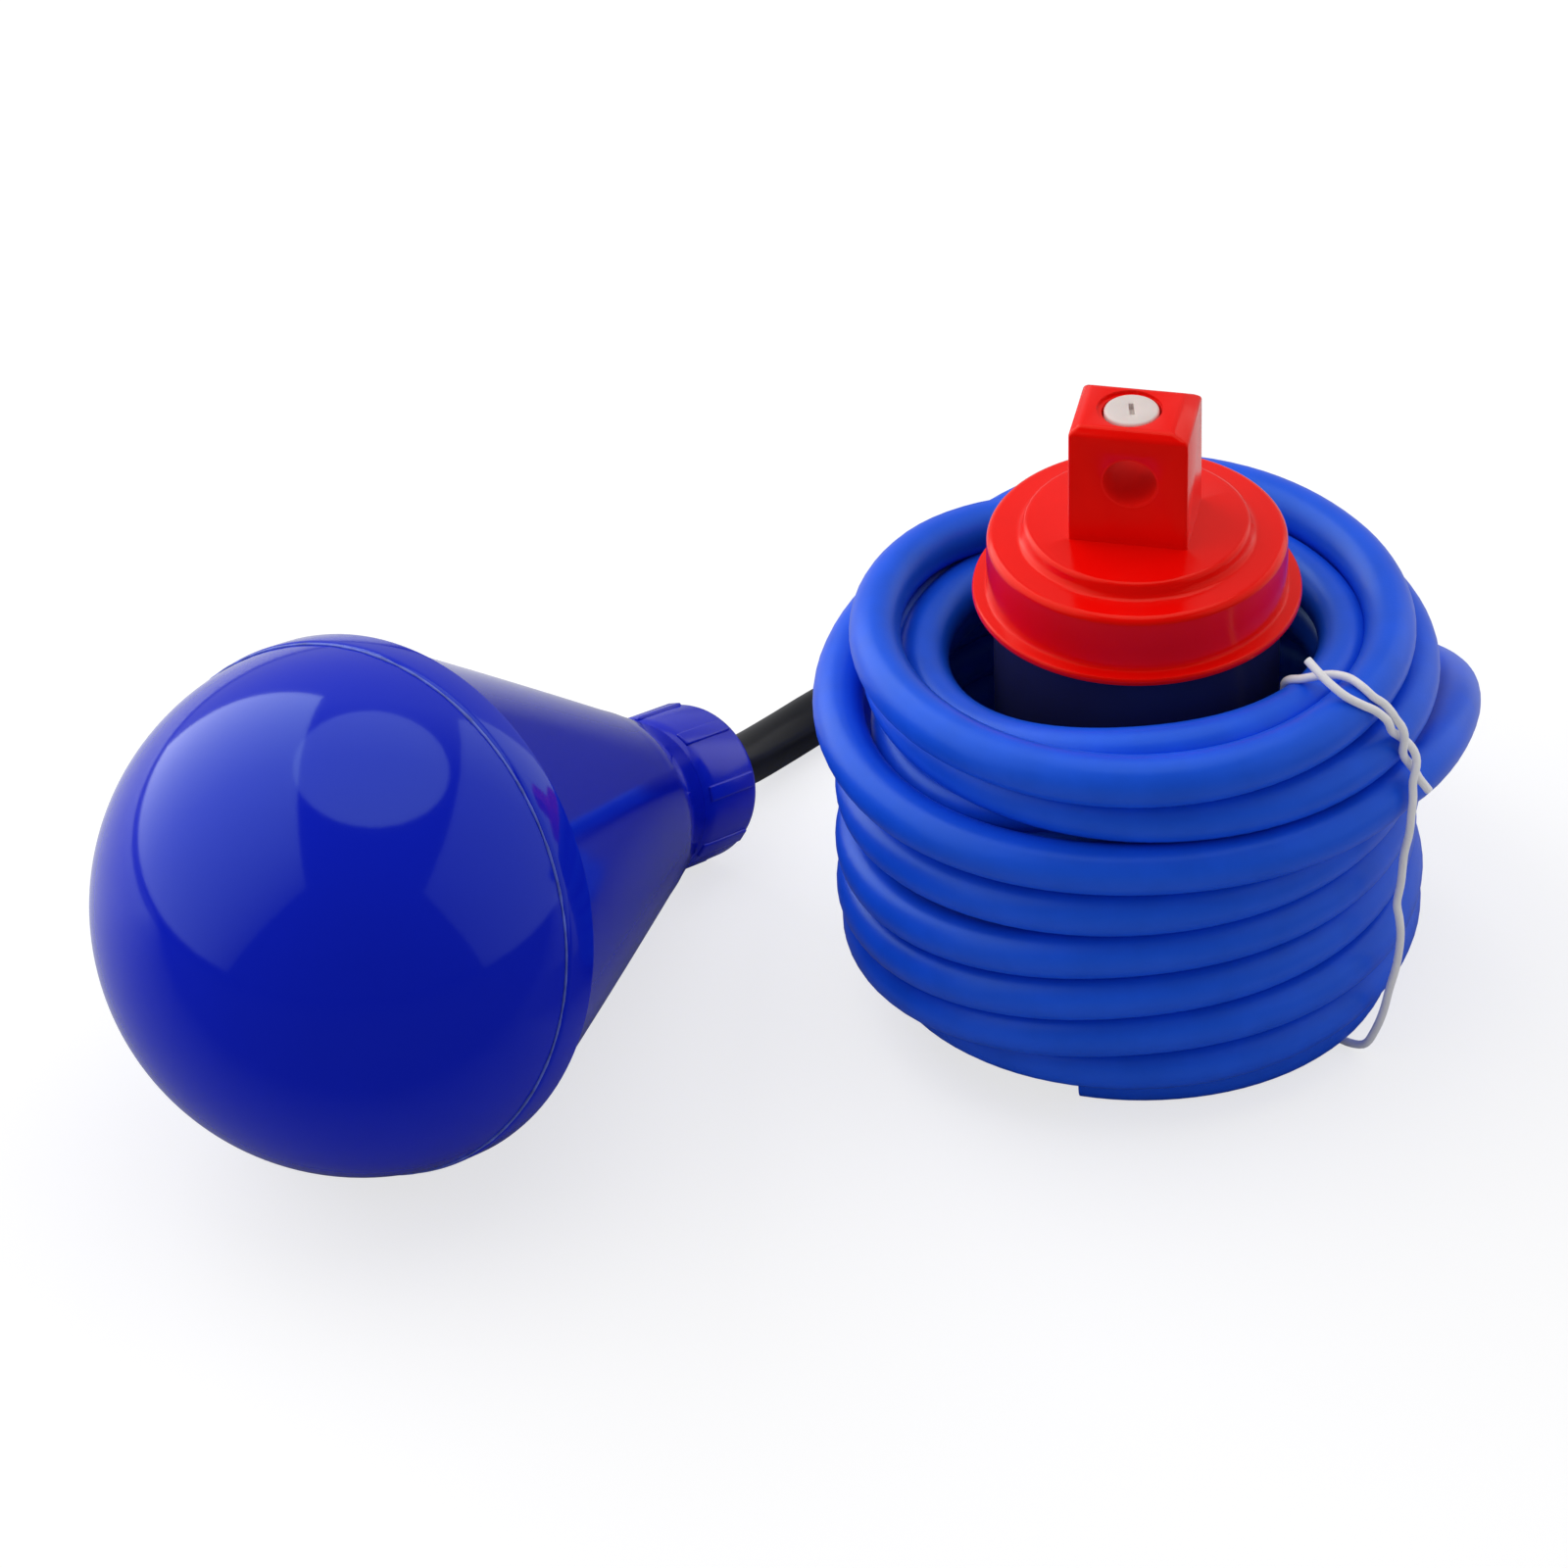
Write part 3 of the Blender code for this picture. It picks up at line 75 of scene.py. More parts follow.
def turned_mesh(name, profile, steps):
    """A shape turned about Z from (radius, height) points, outer side first, top to bottom."""
    mesh = bpy.data.meshes.new(name)
    shape = bmesh.new()
    verts = [shape.verts.new((r, 0.0, z)) for r, z in profile]
    edges = [shape.edges.new(pair) for pair in zip(verts, verts[1:])]
    if profile[0][0] > 1e-6 or profile[-1][0] > 1e-6:
        edges.append(shape.edges.new((verts[-1], verts[0])))
    bmesh.ops.spin(
        shape,
        geom=verts + edges,
        cent=(0, 0, 0),
        axis=(0, 0, 1),
        angle=2.0 * math.pi,
        steps=steps,
        use_merge=True,
        use_duplicate=False,
    )
    bmesh.ops.remove_doubles(shape, verts=shape.verts, dist=2e-6)
    bmesh.ops.recalc_face_normals(shape, faces=shape.faces)
    shape.to_mesh(mesh)
    shape.free()
    mesh.shade_smooth()
    mesh.set_sharp_from_angle(angle=math.radians(32))
    return mesh


def add_piece(name, mesh, material, body="float_switch", place=None):
    """Puts a finished mesh in the scene, with its place in the mesh, riding on a body."""
    if place is not None:
        mesh.transform(place)
    piece = bpy.data.objects.new(name, mesh)
    bpy.context.scene.collection.objects.link(piece)
    mesh.materials.clear()
    mesh.materials.append(material)
    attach(piece, body)
    return piece


def moulded(name, colour, roughness, shade=0.12, grain=900.0, depth=0.00002, mottle=60.0):
    """Moulded or drawn plastic: faintly mottled colour, uneven gloss and a fine skin."""
    material = bpy.data.materials.new(name)
    material.use_nodes = True
    nodes = material.node_tree.nodes
    links = material.node_tree.links
    shader = nodes["Principled BSDF"]
    place = nodes.new("ShaderNodeTexCoord")
    clouds = nodes.new("ShaderNodeTexNoise")
    clouds.inputs["Scale"].default_value = mottle
    clouds.inputs["Detail"].default_value = 4.0
    links.new(place.outputs["Object"], clouds.inputs["Vector"])
    tint = nodes.new("ShaderNodeValToRGB")
    tint.color_ramp.elements[0].position = 0.3
    tint.color_ramp.elements[1].position = 0.7
    tint.color_ramp.elements[0].color = (*[c * (1.0 - shade) for c in colour], 1.0)
    tint.color_ramp.elements[1].color = (*[min(c * (1.0 + shade), 1.0) for c in colour], 1.0)
    links.new(clouds.outputs["Fac"], tint.inputs["Fac"])
    links.new(tint.outputs["Color"], shader.inputs["Base Color"])
    gloss = nodes.new("ShaderNodeMapRange")
    gloss.inputs["To Min"].default_value = roughness * 0.82
    gloss.inputs["To Max"].default_value = roughness * 1.18
    links.new(clouds.outputs["Fac"], gloss.inputs["Value"])
    links.new(gloss.outputs["Result"], shader.inputs["Roughness"])
    skin = nodes.new("ShaderNodeTexNoise")
    skin.inputs["Scale"].default_value = grain
    skin.inputs["Detail"].default_value = 3.0
    links.new(place.outputs["Object"], skin.inputs["Vector"])
    bump = nodes.new("ShaderNodeBump")
    bump.inputs["Strength"].default_value = 0.35
    bump.inputs["Distance"].default_value = depth
    links.new(skin.outputs["Fac"], bump.inputs["Height"])
    links.new(bump.outputs["Normal"], shader.inputs["Normal"])
    return material


def shader_inputs(material):
    """The sockets of a material's own shader."""
    return material.node_tree.nodes["Principled BSDF"].inputs


float_plastic = moulded("float_polypropylene", FLOAT_BLUE, 0.09, 0.05, 260.0, 0.00002, 22.0)
shader_inputs(float_plastic)["Specular Tint"].default_value = (0.60, 0.92, 1.0, 1.0)

seam_radius = math.sqrt(BALL_RADIUS**2 - SEAM**2)
dome_profile = [(0.0352, SEAM), (seam_radius - 0.0002, SEAM)]
for i in range(61):
    angle = math.radians(96.1) + math.radians(83.9) * i / 60.0
    dome_profile.append((BALL_RADIUS * math.sin(angle), BALL_RADIUS * math.cos(angle)))
dome_profile[-1] = (0.0, -BALL_RADIUS)
dome_profile += [(0.0, -BALL_RADIUS + SHELL_WALL)]
for i in range(1, 17):
    angle = i * math.pi / 36.0
    dome_profile.append((SHELL_INSIDE * math.sin(angle), -SHELL_INSIDE * math.cos(angle)))
dome_mesh = turned_mesh("dome", dome_profile, 160)
dome = add_piece("float_shell_rear", dome_mesh, float_plastic, place=float_place)
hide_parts("float_dome")

slope = (CONE_START - CONE_END) / CONE_LENGTH
band_end = SEAM + BAND_LENGTH
band_radius = BALL_RADIUS + BAND_RISE
cone_profile = [
    (NECK_RADIUS, NECK_END),
    (NECK_RADIUS, CONE_LENGTH),
    (CONE_END - 0.0004, CONE_LENGTH),
    (CONE_END, CONE_LENGTH - 0.0003),
    (CONE_START - slope * STEP_LINE, STEP_LINE),
    (CONE_START - slope * STEP_LINE + STEP_DEPTH, STEP_LINE - 0.0004),
]
for i in range(1, 25):
    z = STEP_LINE - 0.0008 + (band_end + 0.0006 - STEP_LINE + 0.0008) * i / 24.0
    cone_profile.append((CONE_START - slope * z + 0.00012 * math.sin(math.pi * i / 24.0), z))
cone_profile += [
    (band_radius - 0.0005, band_end + 0.0002),
    (band_radius - 0.0001, band_end - 0.0002),
    (band_radius, band_end - 0.0008),
    (band_radius, SEAM + 0.0012),
    (band_radius - 0.00012, SEAM + 0.0006),
    (band_radius - 0.00034, SEAM + 0.0003),
    (0.0353, SEAM + 0.0003),
    (0.0338, SEAM + 0.0030),
    (CABLE_BORE, 0.0620),
    (CABLE_BORE, NECK_END),
]
cone_mesh = turned_mesh("cone", cone_profile, 160)
cone = add_piece("float_shell_front", cone_mesh, float_plastic, place=float_place)
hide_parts("float_cone")


def tree_with_inputs(name, inputs):
    """A geometry node tree with a mesh going in and out, and named sizes as its inputs."""
    tree = bpy.data.node_groups.new(name, "GeometryNodeTree")
    tree.interface.new_socket("Geometry", in_out="INPUT", socket_type="NodeSocketGeometry")
    tree.interface.new_socket("Geometry", in_out="OUTPUT", socket_type="NodeSocketGeometry")
    for label, kind in inputs:
        tree.interface.new_socket(label, in_out="INPUT", socket_type=kind)
    return tree, tree.nodes.new("NodeGroupInput"), tree.nodes.new("NodeGroupOutput")


def mesh_from_tree(name, tree, values, start=None):
    """Runs a tree on a start mesh and returns its result as a plain mesh."""
    holder = bpy.data.objects.new(name, start or bpy.data.meshes.new(name))
    bpy.context.scene.collection.objects.link(holder)
    modifier = holder.modifiers.new("tree", "NODES")
    modifier.node_group = tree
    for item in tree.interface.items_tree:
        if item.in_out == "INPUT" and item.name in values:
            modifier[item.identifier] = values[item.name]
    bpy.context.view_layer.update()
    depsgraph = bpy.context.evaluated_depsgraph_get()
    mesh = bpy.data.meshes.new_from_object(holder.evaluated_get(depsgraph))
    mesh.name = name
    bpy.data.objects.remove(holder, do_unlink=True)
    return mesh


bead_tree, bead_in, bead_out = tree_with_inputs(
    "weld_bead",
    [
        ("Ring Radius", "NodeSocketFloat"),
        ("Bead Radius", "NodeSocketFloat"),
        ("Waver", "NodeSocketFloat"),
        ("Material", "NodeSocketMaterial"),
    ],
)
ring = bead_tree.nodes.new("GeometryNodeCurvePrimitiveCircle")
ring.inputs["Resolution"].default_value = 260
section = bead_tree.nodes.new("GeometryNodeCurvePrimitiveCircle")
section.inputs["Resolution"].default_value = 6
waver = bead_tree.nodes.new("ShaderNodeTexNoise")
waver.inputs["Scale"].default_value = 420.0
size = bead_tree.nodes.new("ShaderNodeMath")
size.operation = "MULTIPLY_ADD"
sweep = bead_tree.nodes.new("GeometryNodeCurveToMesh")
paint = bead_tree.nodes.new("GeometryNodeSetMaterial")
links = bead_tree.links
links.new(bead_in.outputs["Ring Radius"], ring.inputs["Radius"])
links.new(bead_in.outputs["Bead Radius"], section.inputs["Radius"])
links.new(waver.outputs["Fac"], size.inputs[0])
links.new(bead_in.outputs["Waver"], size.inputs[1])
size.inputs[2].default_value = 0.15
links.new(ring.outputs["Curve"], sweep.inputs["Curve"])
links.new(section.outputs["Curve"], sweep.inputs["Profile Curve"])
links.new(size.outputs["Value"], sweep.inputs["Scale"])
links.new(sweep.outputs["Mesh"], paint.inputs["Geometry"])
links.new(bead_in.outputs["Material"], paint.inputs["Material"])
links.new(paint.outputs["Geometry"], bead_out.inputs["Geometry"])

BEAD_BLUE = (0.10, 0.15, 0.62)
bead_plastic = moulded("weld_bead_polypropylene", BEAD_BLUE, 0.30, 0.30, 1500.0, 0.00003, 500.0)
bead_mesh = mesh_from_tree(
    "weld_bead",
    bead_tree,
    {
        "Ring Radius": BALL_RADIUS - 0.00012,
        "Bead Radius": 0.00022,
        "Waver": 1.5,
        "Material": bead_plastic,
    },
)
bead_mesh.shade_smooth()
bead_place = float_place @ Matrix.Translation((0, 0, SEAM + 0.00015))
bead = add_piece("float_weld_bead", bead_mesh, bead_plastic, place=bead_place)

# Gland nut. A turned-looking blue nut with a barrelled skirt, shallow grip ribs and a rounded
# front edge. It screws onto the cone's neck and squeezes the seal onto the cable.
NUT_START = 0.0663
RIB_COUNT = 8
RIB_SIZE = (0.0014, 0.0024, 0.0110)
RIB_MIDDLE = 0.0730

nut_plastic = moulded("nut_polypropylene", FLOAT_BLUE, 0.22, 0.05, 500.0, 0.00002, 60.0)
nut_profile = [
    (CABLE_BORE + 0.0004, NUT_END),
    (NUT_RADIUS - NUT_END_ROUNDING, NUT_END),
]
for i in range(1, 8):
    angle = math.pi / 2.0 * i / 7.0
    nut_profile.append(
        (
            NUT_RADIUS - NUT_END_ROUNDING + NUT_END_ROUNDING * math.sin(angle),
            NUT_END - NUT_END_ROUNDING + NUT_END_ROUNDING * math.cos(angle),
        )
    )
nut_profile += [
    (NUT_RADIUS + 0.00008, 0.0740),
    (NUT_RADIUS + 0.00005, 0.0690),
    (NUT_RADIUS - 0.00010, NUT_START + 0.0011),
    (NUT_RADIUS - 0.0005, NUT_START + 0.0006),
    (NUT_RADIUS - 0.0007, NUT_START),
    (NECK_RADIUS + 0.0003, NUT_START),
    (NECK_RADIUS + 0.0003, NUT_FLOOR),
    (CABLE_BORE, NUT_FLOOR),
    (CABLE_BORE, NUT_END - 0.0004),
]

rib_tree, rib_in, rib_out = tree_with_inputs(
    "nut_ribs",
    [
        ("Count", "NodeSocketInt"),
        ("Ring Radius", "NodeSocketFloat"),
        ("First Angle", "NodeSocketFloat"),
        ("Material", "NodeSocketMaterial"),
    ],
)
spots = rib_tree.nodes.new("GeometryNodeMeshCircle")
facing = rib_tree.nodes.new("FunctionNodeAlignRotationToVector")
facing.axis = "X"
outward = rib_tree.nodes.new("GeometryNodeInputPosition")
spread = rib_tree.nodes.new("GeometryNodeInstanceOnPoints")
turn = rib_tree.nodes.new("GeometryNodeTransform")
turn_angle = rib_tree.nodes.new("ShaderNodeCombineXYZ")
real = rib_tree.nodes.new("GeometryNodeRealizeInstances")
paint = rib_tree.nodes.new("GeometryNodeSetMaterial")
links = rib_tree.links
links.new(rib_in.outputs["Count"], spots.inputs["Vertices"])
links.new(rib_in.outputs["Ring Radius"], spots.inputs["Radius"])
links.new(outward.outputs["Position"], facing.inputs["Vector"])
links.new(spots.outputs["Mesh"], spread.inputs["Points"])
links.new(rib_in.outputs["Geometry"], spread.inputs["Instance"])
links.new(facing.outputs["Rotation"], spread.inputs["Rotation"])
links.new(spread.outputs["Instances"], turn.inputs["Geometry"])
links.new(rib_in.outputs["First Angle"], turn_angle.inputs["Z"])
links.new(turn_angle.outputs["Vector"], turn.inputs["Rotation"])
links.new(turn.outputs["Geometry"], real.inputs["Geometry"])
links.new(real.outputs["Geometry"], paint.inputs["Geometry"])
links.new(rib_in.outputs["Material"], paint.inputs["Material"])
links.new(paint.outputs["Geometry"], rib_out.inputs["Geometry"])

rib_shape = bmesh.new()
bmesh.ops.create_cube(rib_shape, size=1.0)
bmesh.ops.scale(rib_shape, vec=RIB_SIZE, verts=rib_shape.verts)
bmesh.ops.bevel(
    rib_shape, geom=rib_shape.edges[:], offset=0.0003, segments=3, profile=0.5, affect="EDGES"
)
bmesh.ops.translate(rib_shape, vec=(-0.00035, 0.0, 0.0), verts=rib_shape.verts)
rib_mesh = bpy.data.meshes.new("nut_rib")
rib_shape.to_mesh(rib_mesh)
rib_shape.free()
ribs = mesh_from_tree(
    "nut_ribs",
    rib_tree,
    {
        "Count": RIB_COUNT,
        "Ring Radius": NUT_RADIUS,
        "First Angle": math.pi / RIB_COUNT - math.pi / 2.0,
        "Material": nut_plastic,
    },
    rib_mesh,
)
ribs.transform(Matrix.Translation((0, 0, RIB_MIDDLE)))
nut_shape = bmesh.new()
nut_shape.from_mesh(turned_mesh("nut", nut_profile, 96))
nut_shape.from_mesh(ribs)
nut_mesh = bpy.data.meshes.new("gland_nut")
nut_shape.to_mesh(nut_mesh)
nut_shape.free()
nut_mesh.shade_smooth()
nut_mesh.set_sharp_from_angle(angle=math.radians(40))
nut = add_piece("cable_gland_nut", nut_mesh, nut_plastic, place=float_place)
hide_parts("gland_nut")

# Cable. One length of round three-core cable with a blue PVC sheath. It leaves the nut inside a
# black sleeve, runs behind the coil, climbs its back, lies once round its shoulder and goes on
# into nine outer turns and three inner ones. It ends cut square at the bottom of the coil.
CABLE_RADIUS = 0.0036
SLEEVE_RADIUS = 0.0040
CORE_RADIUS = 0.00125
CORE_FROM_MIDDLE = 0.00148
STRAND_RADIUS = 0.00052
SHEATH_BLUE = (0.0070, 0.0950, 0.820)
CORE_BROWN = (0.10, 0.035, 0.012)
CORE_BLUE = (0.03, 0.12, 0.60)
CORE_BLACK = (0.012, 0.012, 0.012)
SLEEVE_MARKS = (
    (-0.0560, 0.0429, 0.0062),
    (-0.0500, 0.0505, 0.0044),
    (-0.0440, 0.0565, 0.0040),
    (-0.0370, 0.0620, 0.0040),
    (-0.0290, 0.0660, 0.0040),
)
LEAD_MARKS = (
    (-0.0200, 0.0680, 0.0040),
    (-0.0080, 0.0675, 0.0050),
    (0.0060, 0.0640, 0.0080),
    (0.0200, 0.0575, 0.0125),
    (0.0330, 0.0465, 0.0192),
    (0.0425, 0.0320, 0.0274),
    (0.0462, 0.0160, 0.0357),
    (0.0454, 0.0012, 0.0422),
    (0.0422, -0.0100, 0.0449),
    (0.0378, -0.0184, 0.0462),
)


def between(p0, p1, p2, p3, share):
    """A point from p1 to p2 on the smooth curve through four points."""
    bend = (2 * p0 - 5 * p1 + 4 * p2 - p3) * share**2 + (3 * p1 - p0 - 3 * p2 + p3) * share**3
    return (2 * p1 + (p2 - p0) * share + bend) / 2.0


def smooth_line(marks, spacing):
    """Points a spacing apart on a smooth curve through the marks."""
    marks = [Vector(mark) for mark in marks]
    marks = [2 * marks[0] - marks[1]] + marks + [2 * marks[-1] - marks[-2]]
    fine = []
    for i in range(1, len(marks) - 2):
        for step in range(40):
            fine.append(between(*marks[i - 1 : i + 3], step / 40.0))
    fine.append(marks[-2])
    kept = [fine[0]]
    walked = 0.0
    for a, b in zip(fine, fine[1:]):
        walked += (b - a).length
        if walked >= spacing:
            kept.append(b)
            walked = 0.0
    if (kept[-1] - fine[-1]).length < spacing / 2.0:
        kept.pop()
    kept.append(fine[-1])
    return kept


# Each row is one turn, clockwise seen from above: its distance from the coil's axis and its height
# in millimetres at -30, -90, -150, 150, 90 and 30 degrees. The hand-wound turns lie aslant, so
# each one drops to its neighbour between the coil's front and its back.
TURNS = (
    ((41.0, 46.8), (39.0, 46.8), (42.2, 47.4), (41.2, 49.4), (38.0, 53.2), (38.2, 53.9)),
    ((38.8, 53.8), (36.7, 54.0), (35.2, 54.2), (35.0, 53.4), (35.4, 59.4), (34.2, 61.0)),
    ((36.0, 61.2), (38.2, 61.2), (37.6, 61.2), (34.8, 60.4), (28.0, 57.6), (27.6, 57.6)),
    ((29.6, 59.4), (31.0, 60.6), (30.6, 56.2), (29.2, 54.6), (28.6, 51.8), (28.4, 50.8)),
    ((28.6, 52.0), (29.4, 53.2), (35.0, 46.2), (32.5, 46.8), (36.6, 46.4), (35.6, 46.6)),
    ((30.0, 46.0), (29.4, 45.8), (37.4, 42.8), (38.2, 39.8), (38.2, 39.4), (37.4, 39.6)),
    ((36.8, 39.6), (38.6, 39.6), (40.2, 37.2), (38.2, 32.9), (38.2, 32.3), (37.4, 32.4)),
    ((36.6, 32.4), (38.4, 32.4), (41.0, 28.2), (37.6, 25.6), (38.0, 25.2), (37.4, 25.2)),
    ((36.2, 25.2), (38.5, 25.2), (41.2, 20.8), (37.4, 17.6), (38.0, 17.8), (37.8, 18.0)),
    ((37.6, 18.0), (38.2, 18.0), (40.3, 13.8), (37.2, 10.2), (38.0, 10.6), (38.4, 10.8)),
    ((37.0, 10.8), (36.8, 10.3), (35.4, 8.0), (32.4, 4.2), (33.4, 3.6), (33.8, 3.6)),
    ((33.8, 3.6), (31.6, 3.6), (32.0, 3.6), (32.0, 3.6), (32.0, 3.6), (32.0, 3.6)),
)
TURNS_START = -36.0
TURNS_END = -108.0 - 360.0 * 11
bearings = [Vector((r / 1000.0, height / 1000.0)) for row in TURNS for r, height in row]
turn_points = []
degrees = TURNS_START
while degrees >= TURNS_END:
    step, share = divmod((-30.0 - degrees) / 60.0, 1.0)
    near = [bearings[min(max(int(step) + k, 0), len(bearings) - 1)] for k in (-1, 0, 1, 2)]
    distance, height = between(*near, share)
    angle = math.radians(degrees)
    turn_points.append(Vector((distance * math.cos(angle), distance * math.sin(angle), height)))
    degrees -= 4.0

lead_in = [float_place @ Vector((0, 0, NUT_END + s)) for s in (-0.0020, 0.0018, 0.0054)]
lead_line = smooth_line(lead_in + list(SLEEVE_MARKS) + list(LEAD_MARKS) + turn_points[:2], 0.0030)
cable_line = lead_line[:-1] + turn_points[1:]

tube_tree, tube_in, tube_out = tree_with_inputs(
    "round_cable",
    [
        ("Radius", "NodeSocketFloat"),
        ("Sides", "NodeSocketInt"),
        ("Material", "NodeSocketMaterial"),
    ],
)
line = tube_tree.nodes.new("GeometryNodeMeshToCurve")
measure = tube_tree.nodes.new("GeometryNodeSplineParameter")
keep_length = tube_tree.nodes.new("GeometryNodeStoreNamedAttribute")
keep_length.inputs["Name"].default_value = "along"
section = tube_tree.nodes.new("GeometryNodeCurvePrimitiveCircle")
sweep = tube_tree.nodes.new("GeometryNodeCurveToMesh")
sweep.inputs["Fill Caps"].default_value = True
paint = tube_tree.nodes.new("GeometryNodeSetMaterial")
links = tube_tree.links
links.new(tube_in.outputs["Geometry"], line.inputs["Mesh"])
links.new(line.outputs["Curve"], keep_length.inputs["Geometry"])
links.new(measure.outputs["Length"], keep_length.inputs["Value"])
links.new(keep_length.outputs["Geometry"], sweep.inputs["Curve"])
links.new(tube_in.outputs["Radius"], section.inputs["Radius"])
links.new(tube_in.outputs["Sides"], section.inputs["Resolution"])
links.new(section.outputs["Curve"], sweep.inputs["Profile Curve"])
links.new(sweep.outputs["Mesh"], paint.inputs["Geometry"])
links.new(tube_in.outputs["Material"], paint.inputs["Material"])
links.new(paint.outputs["Geometry"], tube_out.inputs["Geometry"])


def tube_mesh(name, points, radius, sides, material):
    """A round tube along the points, by the cable's node tree."""
    start = bpy.data.meshes.new(name)
    start.from_pydata(points, [(i, i + 1) for i in range(len(points) - 1)], [])
    values = {"Radius": radius, "Sides": sides, "Material": material}
    mesh = mesh_from_tree(name, tube_tree, values, start)
    shape = bmesh.new()
    shape.from_mesh(mesh)
    bmesh.ops.recalc_face_normals(shape, faces=shape.faces)
    shape.to_mesh(mesh)
    shape.free()
    mesh.shade_smooth()
    mesh.set_sharp_from_angle(angle=math.radians(50))
    return mesh


sheath = moulded("cable_sheath_pvc", SHEATH_BLUE, 0.36, 0.06, 2600.0, 0.00003, 140.0)
shader_inputs(sheath)["Specular Tint"].default_value = (0.45, 0.80, 1.0, 1.0)
cable_mesh = tube_mesh("blue_cable", cable_line, CABLE_RADIUS, 28, sheath)
cable = add_piece("blue_cable", cable_mesh, sheath)
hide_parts("cable_lead", "cable_coil")

sleeve_black = moulded("sleeve_rubber", (0.006, 0.0065, 0.010), 0.30, 0.25, 2200.0, 0.00003, 200.0)
shader_inputs(sleeve_black)["Specular IOR Level"].default_value = 0.25
sleeve_line = smooth_line(lead_in + list(SLEEVE_MARKS), 0.0025)
sleeve_mesh = tube_mesh("black_sleeve", sleeve_line, SLEEVE_RADIUS, 32, sleeve_black)
sleeve = add_piece("black_sleeve", sleeve_mesh, sleeve_black)
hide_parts("cable_sleeve")

cut = cable_line[-1]
inward = (cable_line[-2] - cut).normalized()
across = inward.cross(Vector((0, 0, 1))).normalized()
upward = across.cross(inward)
for name, angle, colour in (
    ("core_end_brown", 90.0, CORE_BROWN),
    ("core_end_blue", 210.0, CORE_BLUE),
    ("core_end_black", 330.0, CORE_BLACK),
):
    angle = math.radians(angle)
    side = CORE_FROM_MIDDLE * (math.cos(angle) * across + math.sin(angle) * upward)
    skin = moulded(name + "_pvc", colour, 0.42, 0.10, 2600.0, 0.00002, 300.0)
    line_points = [cut + side + inward * 0.0010, cut + side - inward * 0.00012]
    stub = add_piece(name, tube_mesh(name, line_points, CORE_RADIUS, 20, skin), skin)
    copper = moulded(name + "_copper", (0.75, 0.32, 0.16), 0.32, 0.15, 1800.0, 0.00002, 900.0)
    shader_inputs(copper)["Metallic"].default_value = 1.0
    line_points = [cut + side + inward * 0.0008, cut + side - inward * 0.00020]
    strand_mesh = tube_mesh(name, line_points, STRAND_RADIUS, 14, copper)
    strand = add_piece(name + "_copper", strand_mesh, copper)

# Twist tie. One white plastic-coated wire round the whole bundle: over the coil, down its
# outside, under it and up through its hole. Its two ends are wound round each other over the
# coil's outer edge, and the free tips stick out.
TIE_RADIUS = 0.00060
TIE_TURN = math.radians(-39.0)
WIRE_FROM_TWIST_AXIS = 0.00078
TIE_UPPER_END = (
    (0.0308, -0.0042, 0.0686),
    (0.0342, -0.0050, 0.0673),
    (0.0372, -0.0048, 0.0657),
    (0.0393, -0.0034, 0.0641),
    (0.0404, -0.0019, 0.0627),
)
TWIST_AXIS = (
    (0.0416, -0.0002, 0.0612),
    (0.0424, 0.0010, 0.0582),
    (0.0431, 0.0020, 0.0553),
    (0.0440, 0.0024, 0.0527),
    (0.0450, 0.0018, 0.0504),
)
TIE_LOOP = (
    (0.0454, 0.0006, 0.0482),
    (0.0456, 0.0, 0.0460),
    (0.0454, 0.0, 0.0427),
    (0.0447, 0.0, 0.0385),
    (0.0444, 0.0, 0.0335),
    (0.0439, 0.0, 0.0296),
    (0.0444, 0.0, 0.0270),
    (0.0447, 0.0, 0.0237),
    (0.0443, 0.0, 0.0190),
    (0.0433, 0.0, 0.0140),
    (0.0424, 0.0, 0.0092),
    (0.0412, 0.0, 0.0052),
    (0.0397, 0.0, 0.0020),
    (0.0374, 0.0, 0.0009),
    (0.0340, 0.0, 0.0008),
    (0.0275, 0.0, 0.0008),
    (0.0248, 0.0, 0.0011),
    (0.0239, 0.0, 0.0035),
    (0.0240, 0.0, 0.0200),
    (0.0240, 0.0, 0.0400),
    (0.0240, 0.0, 0.0540),
    (0.0251, -0.0008, 0.0590),
    (0.0258, -0.0018, 0.0612),
    (0.0273, -0.0028, 0.0630),
    (0.0292, -0.0031, 0.0641),
    (0.0312, -0.0027, 0.0651),
    (0.0332, -0.0016, 0.0656),
    (0.0356, -0.0011, 0.0657),
    (0.0378, -0.0012, 0.0652),
    (0.0394, -0.0008, 0.0639),
    (0.0405, 0.0001, 0.0627),
)
TIE_TIP = (0.0463, 0.0032, 0.0484)
twist = smooth_line(TWIST_AXIS, 0.0008)
first = []
second = []
for i, point in enumerate(twist):
    angle = 2.0 * math.pi * max(i / (len(twist) - 1) - 0.12, 0.0) / 0.88
    ahead = (twist[min(i + 1, len(twist) - 1)] - twist[max(i - 1, 0)]).normalized()
    across = Vector((0.0, 1.0, 0.0))
    offset = math.sin(angle) * across.cross(ahead) - math.cos(angle) * across
    offset *= WIRE_FROM_TWIST_AXIS
    first.append(point + offset)
    second.append(point - offset)
tie_line = smooth_line([*TIE_UPPER_END, *first, *TIE_LOOP, *second, TIE_TIP], 0.0007)
tie_white = moulded("tie_coating", (0.94, 0.93, 0.95), 0.42, 0.03, 2600.0, 0.00002, 400.0)
tie_mesh = tube_mesh("wire_tie", tie_line, TIE_RADIUS, 12, tie_white)
tie = add_piece("wire_tie", tie_mesh, tie_white, place=Matrix.Rotation(TIE_TURN, 4, "Z"))
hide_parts("twist_tie")

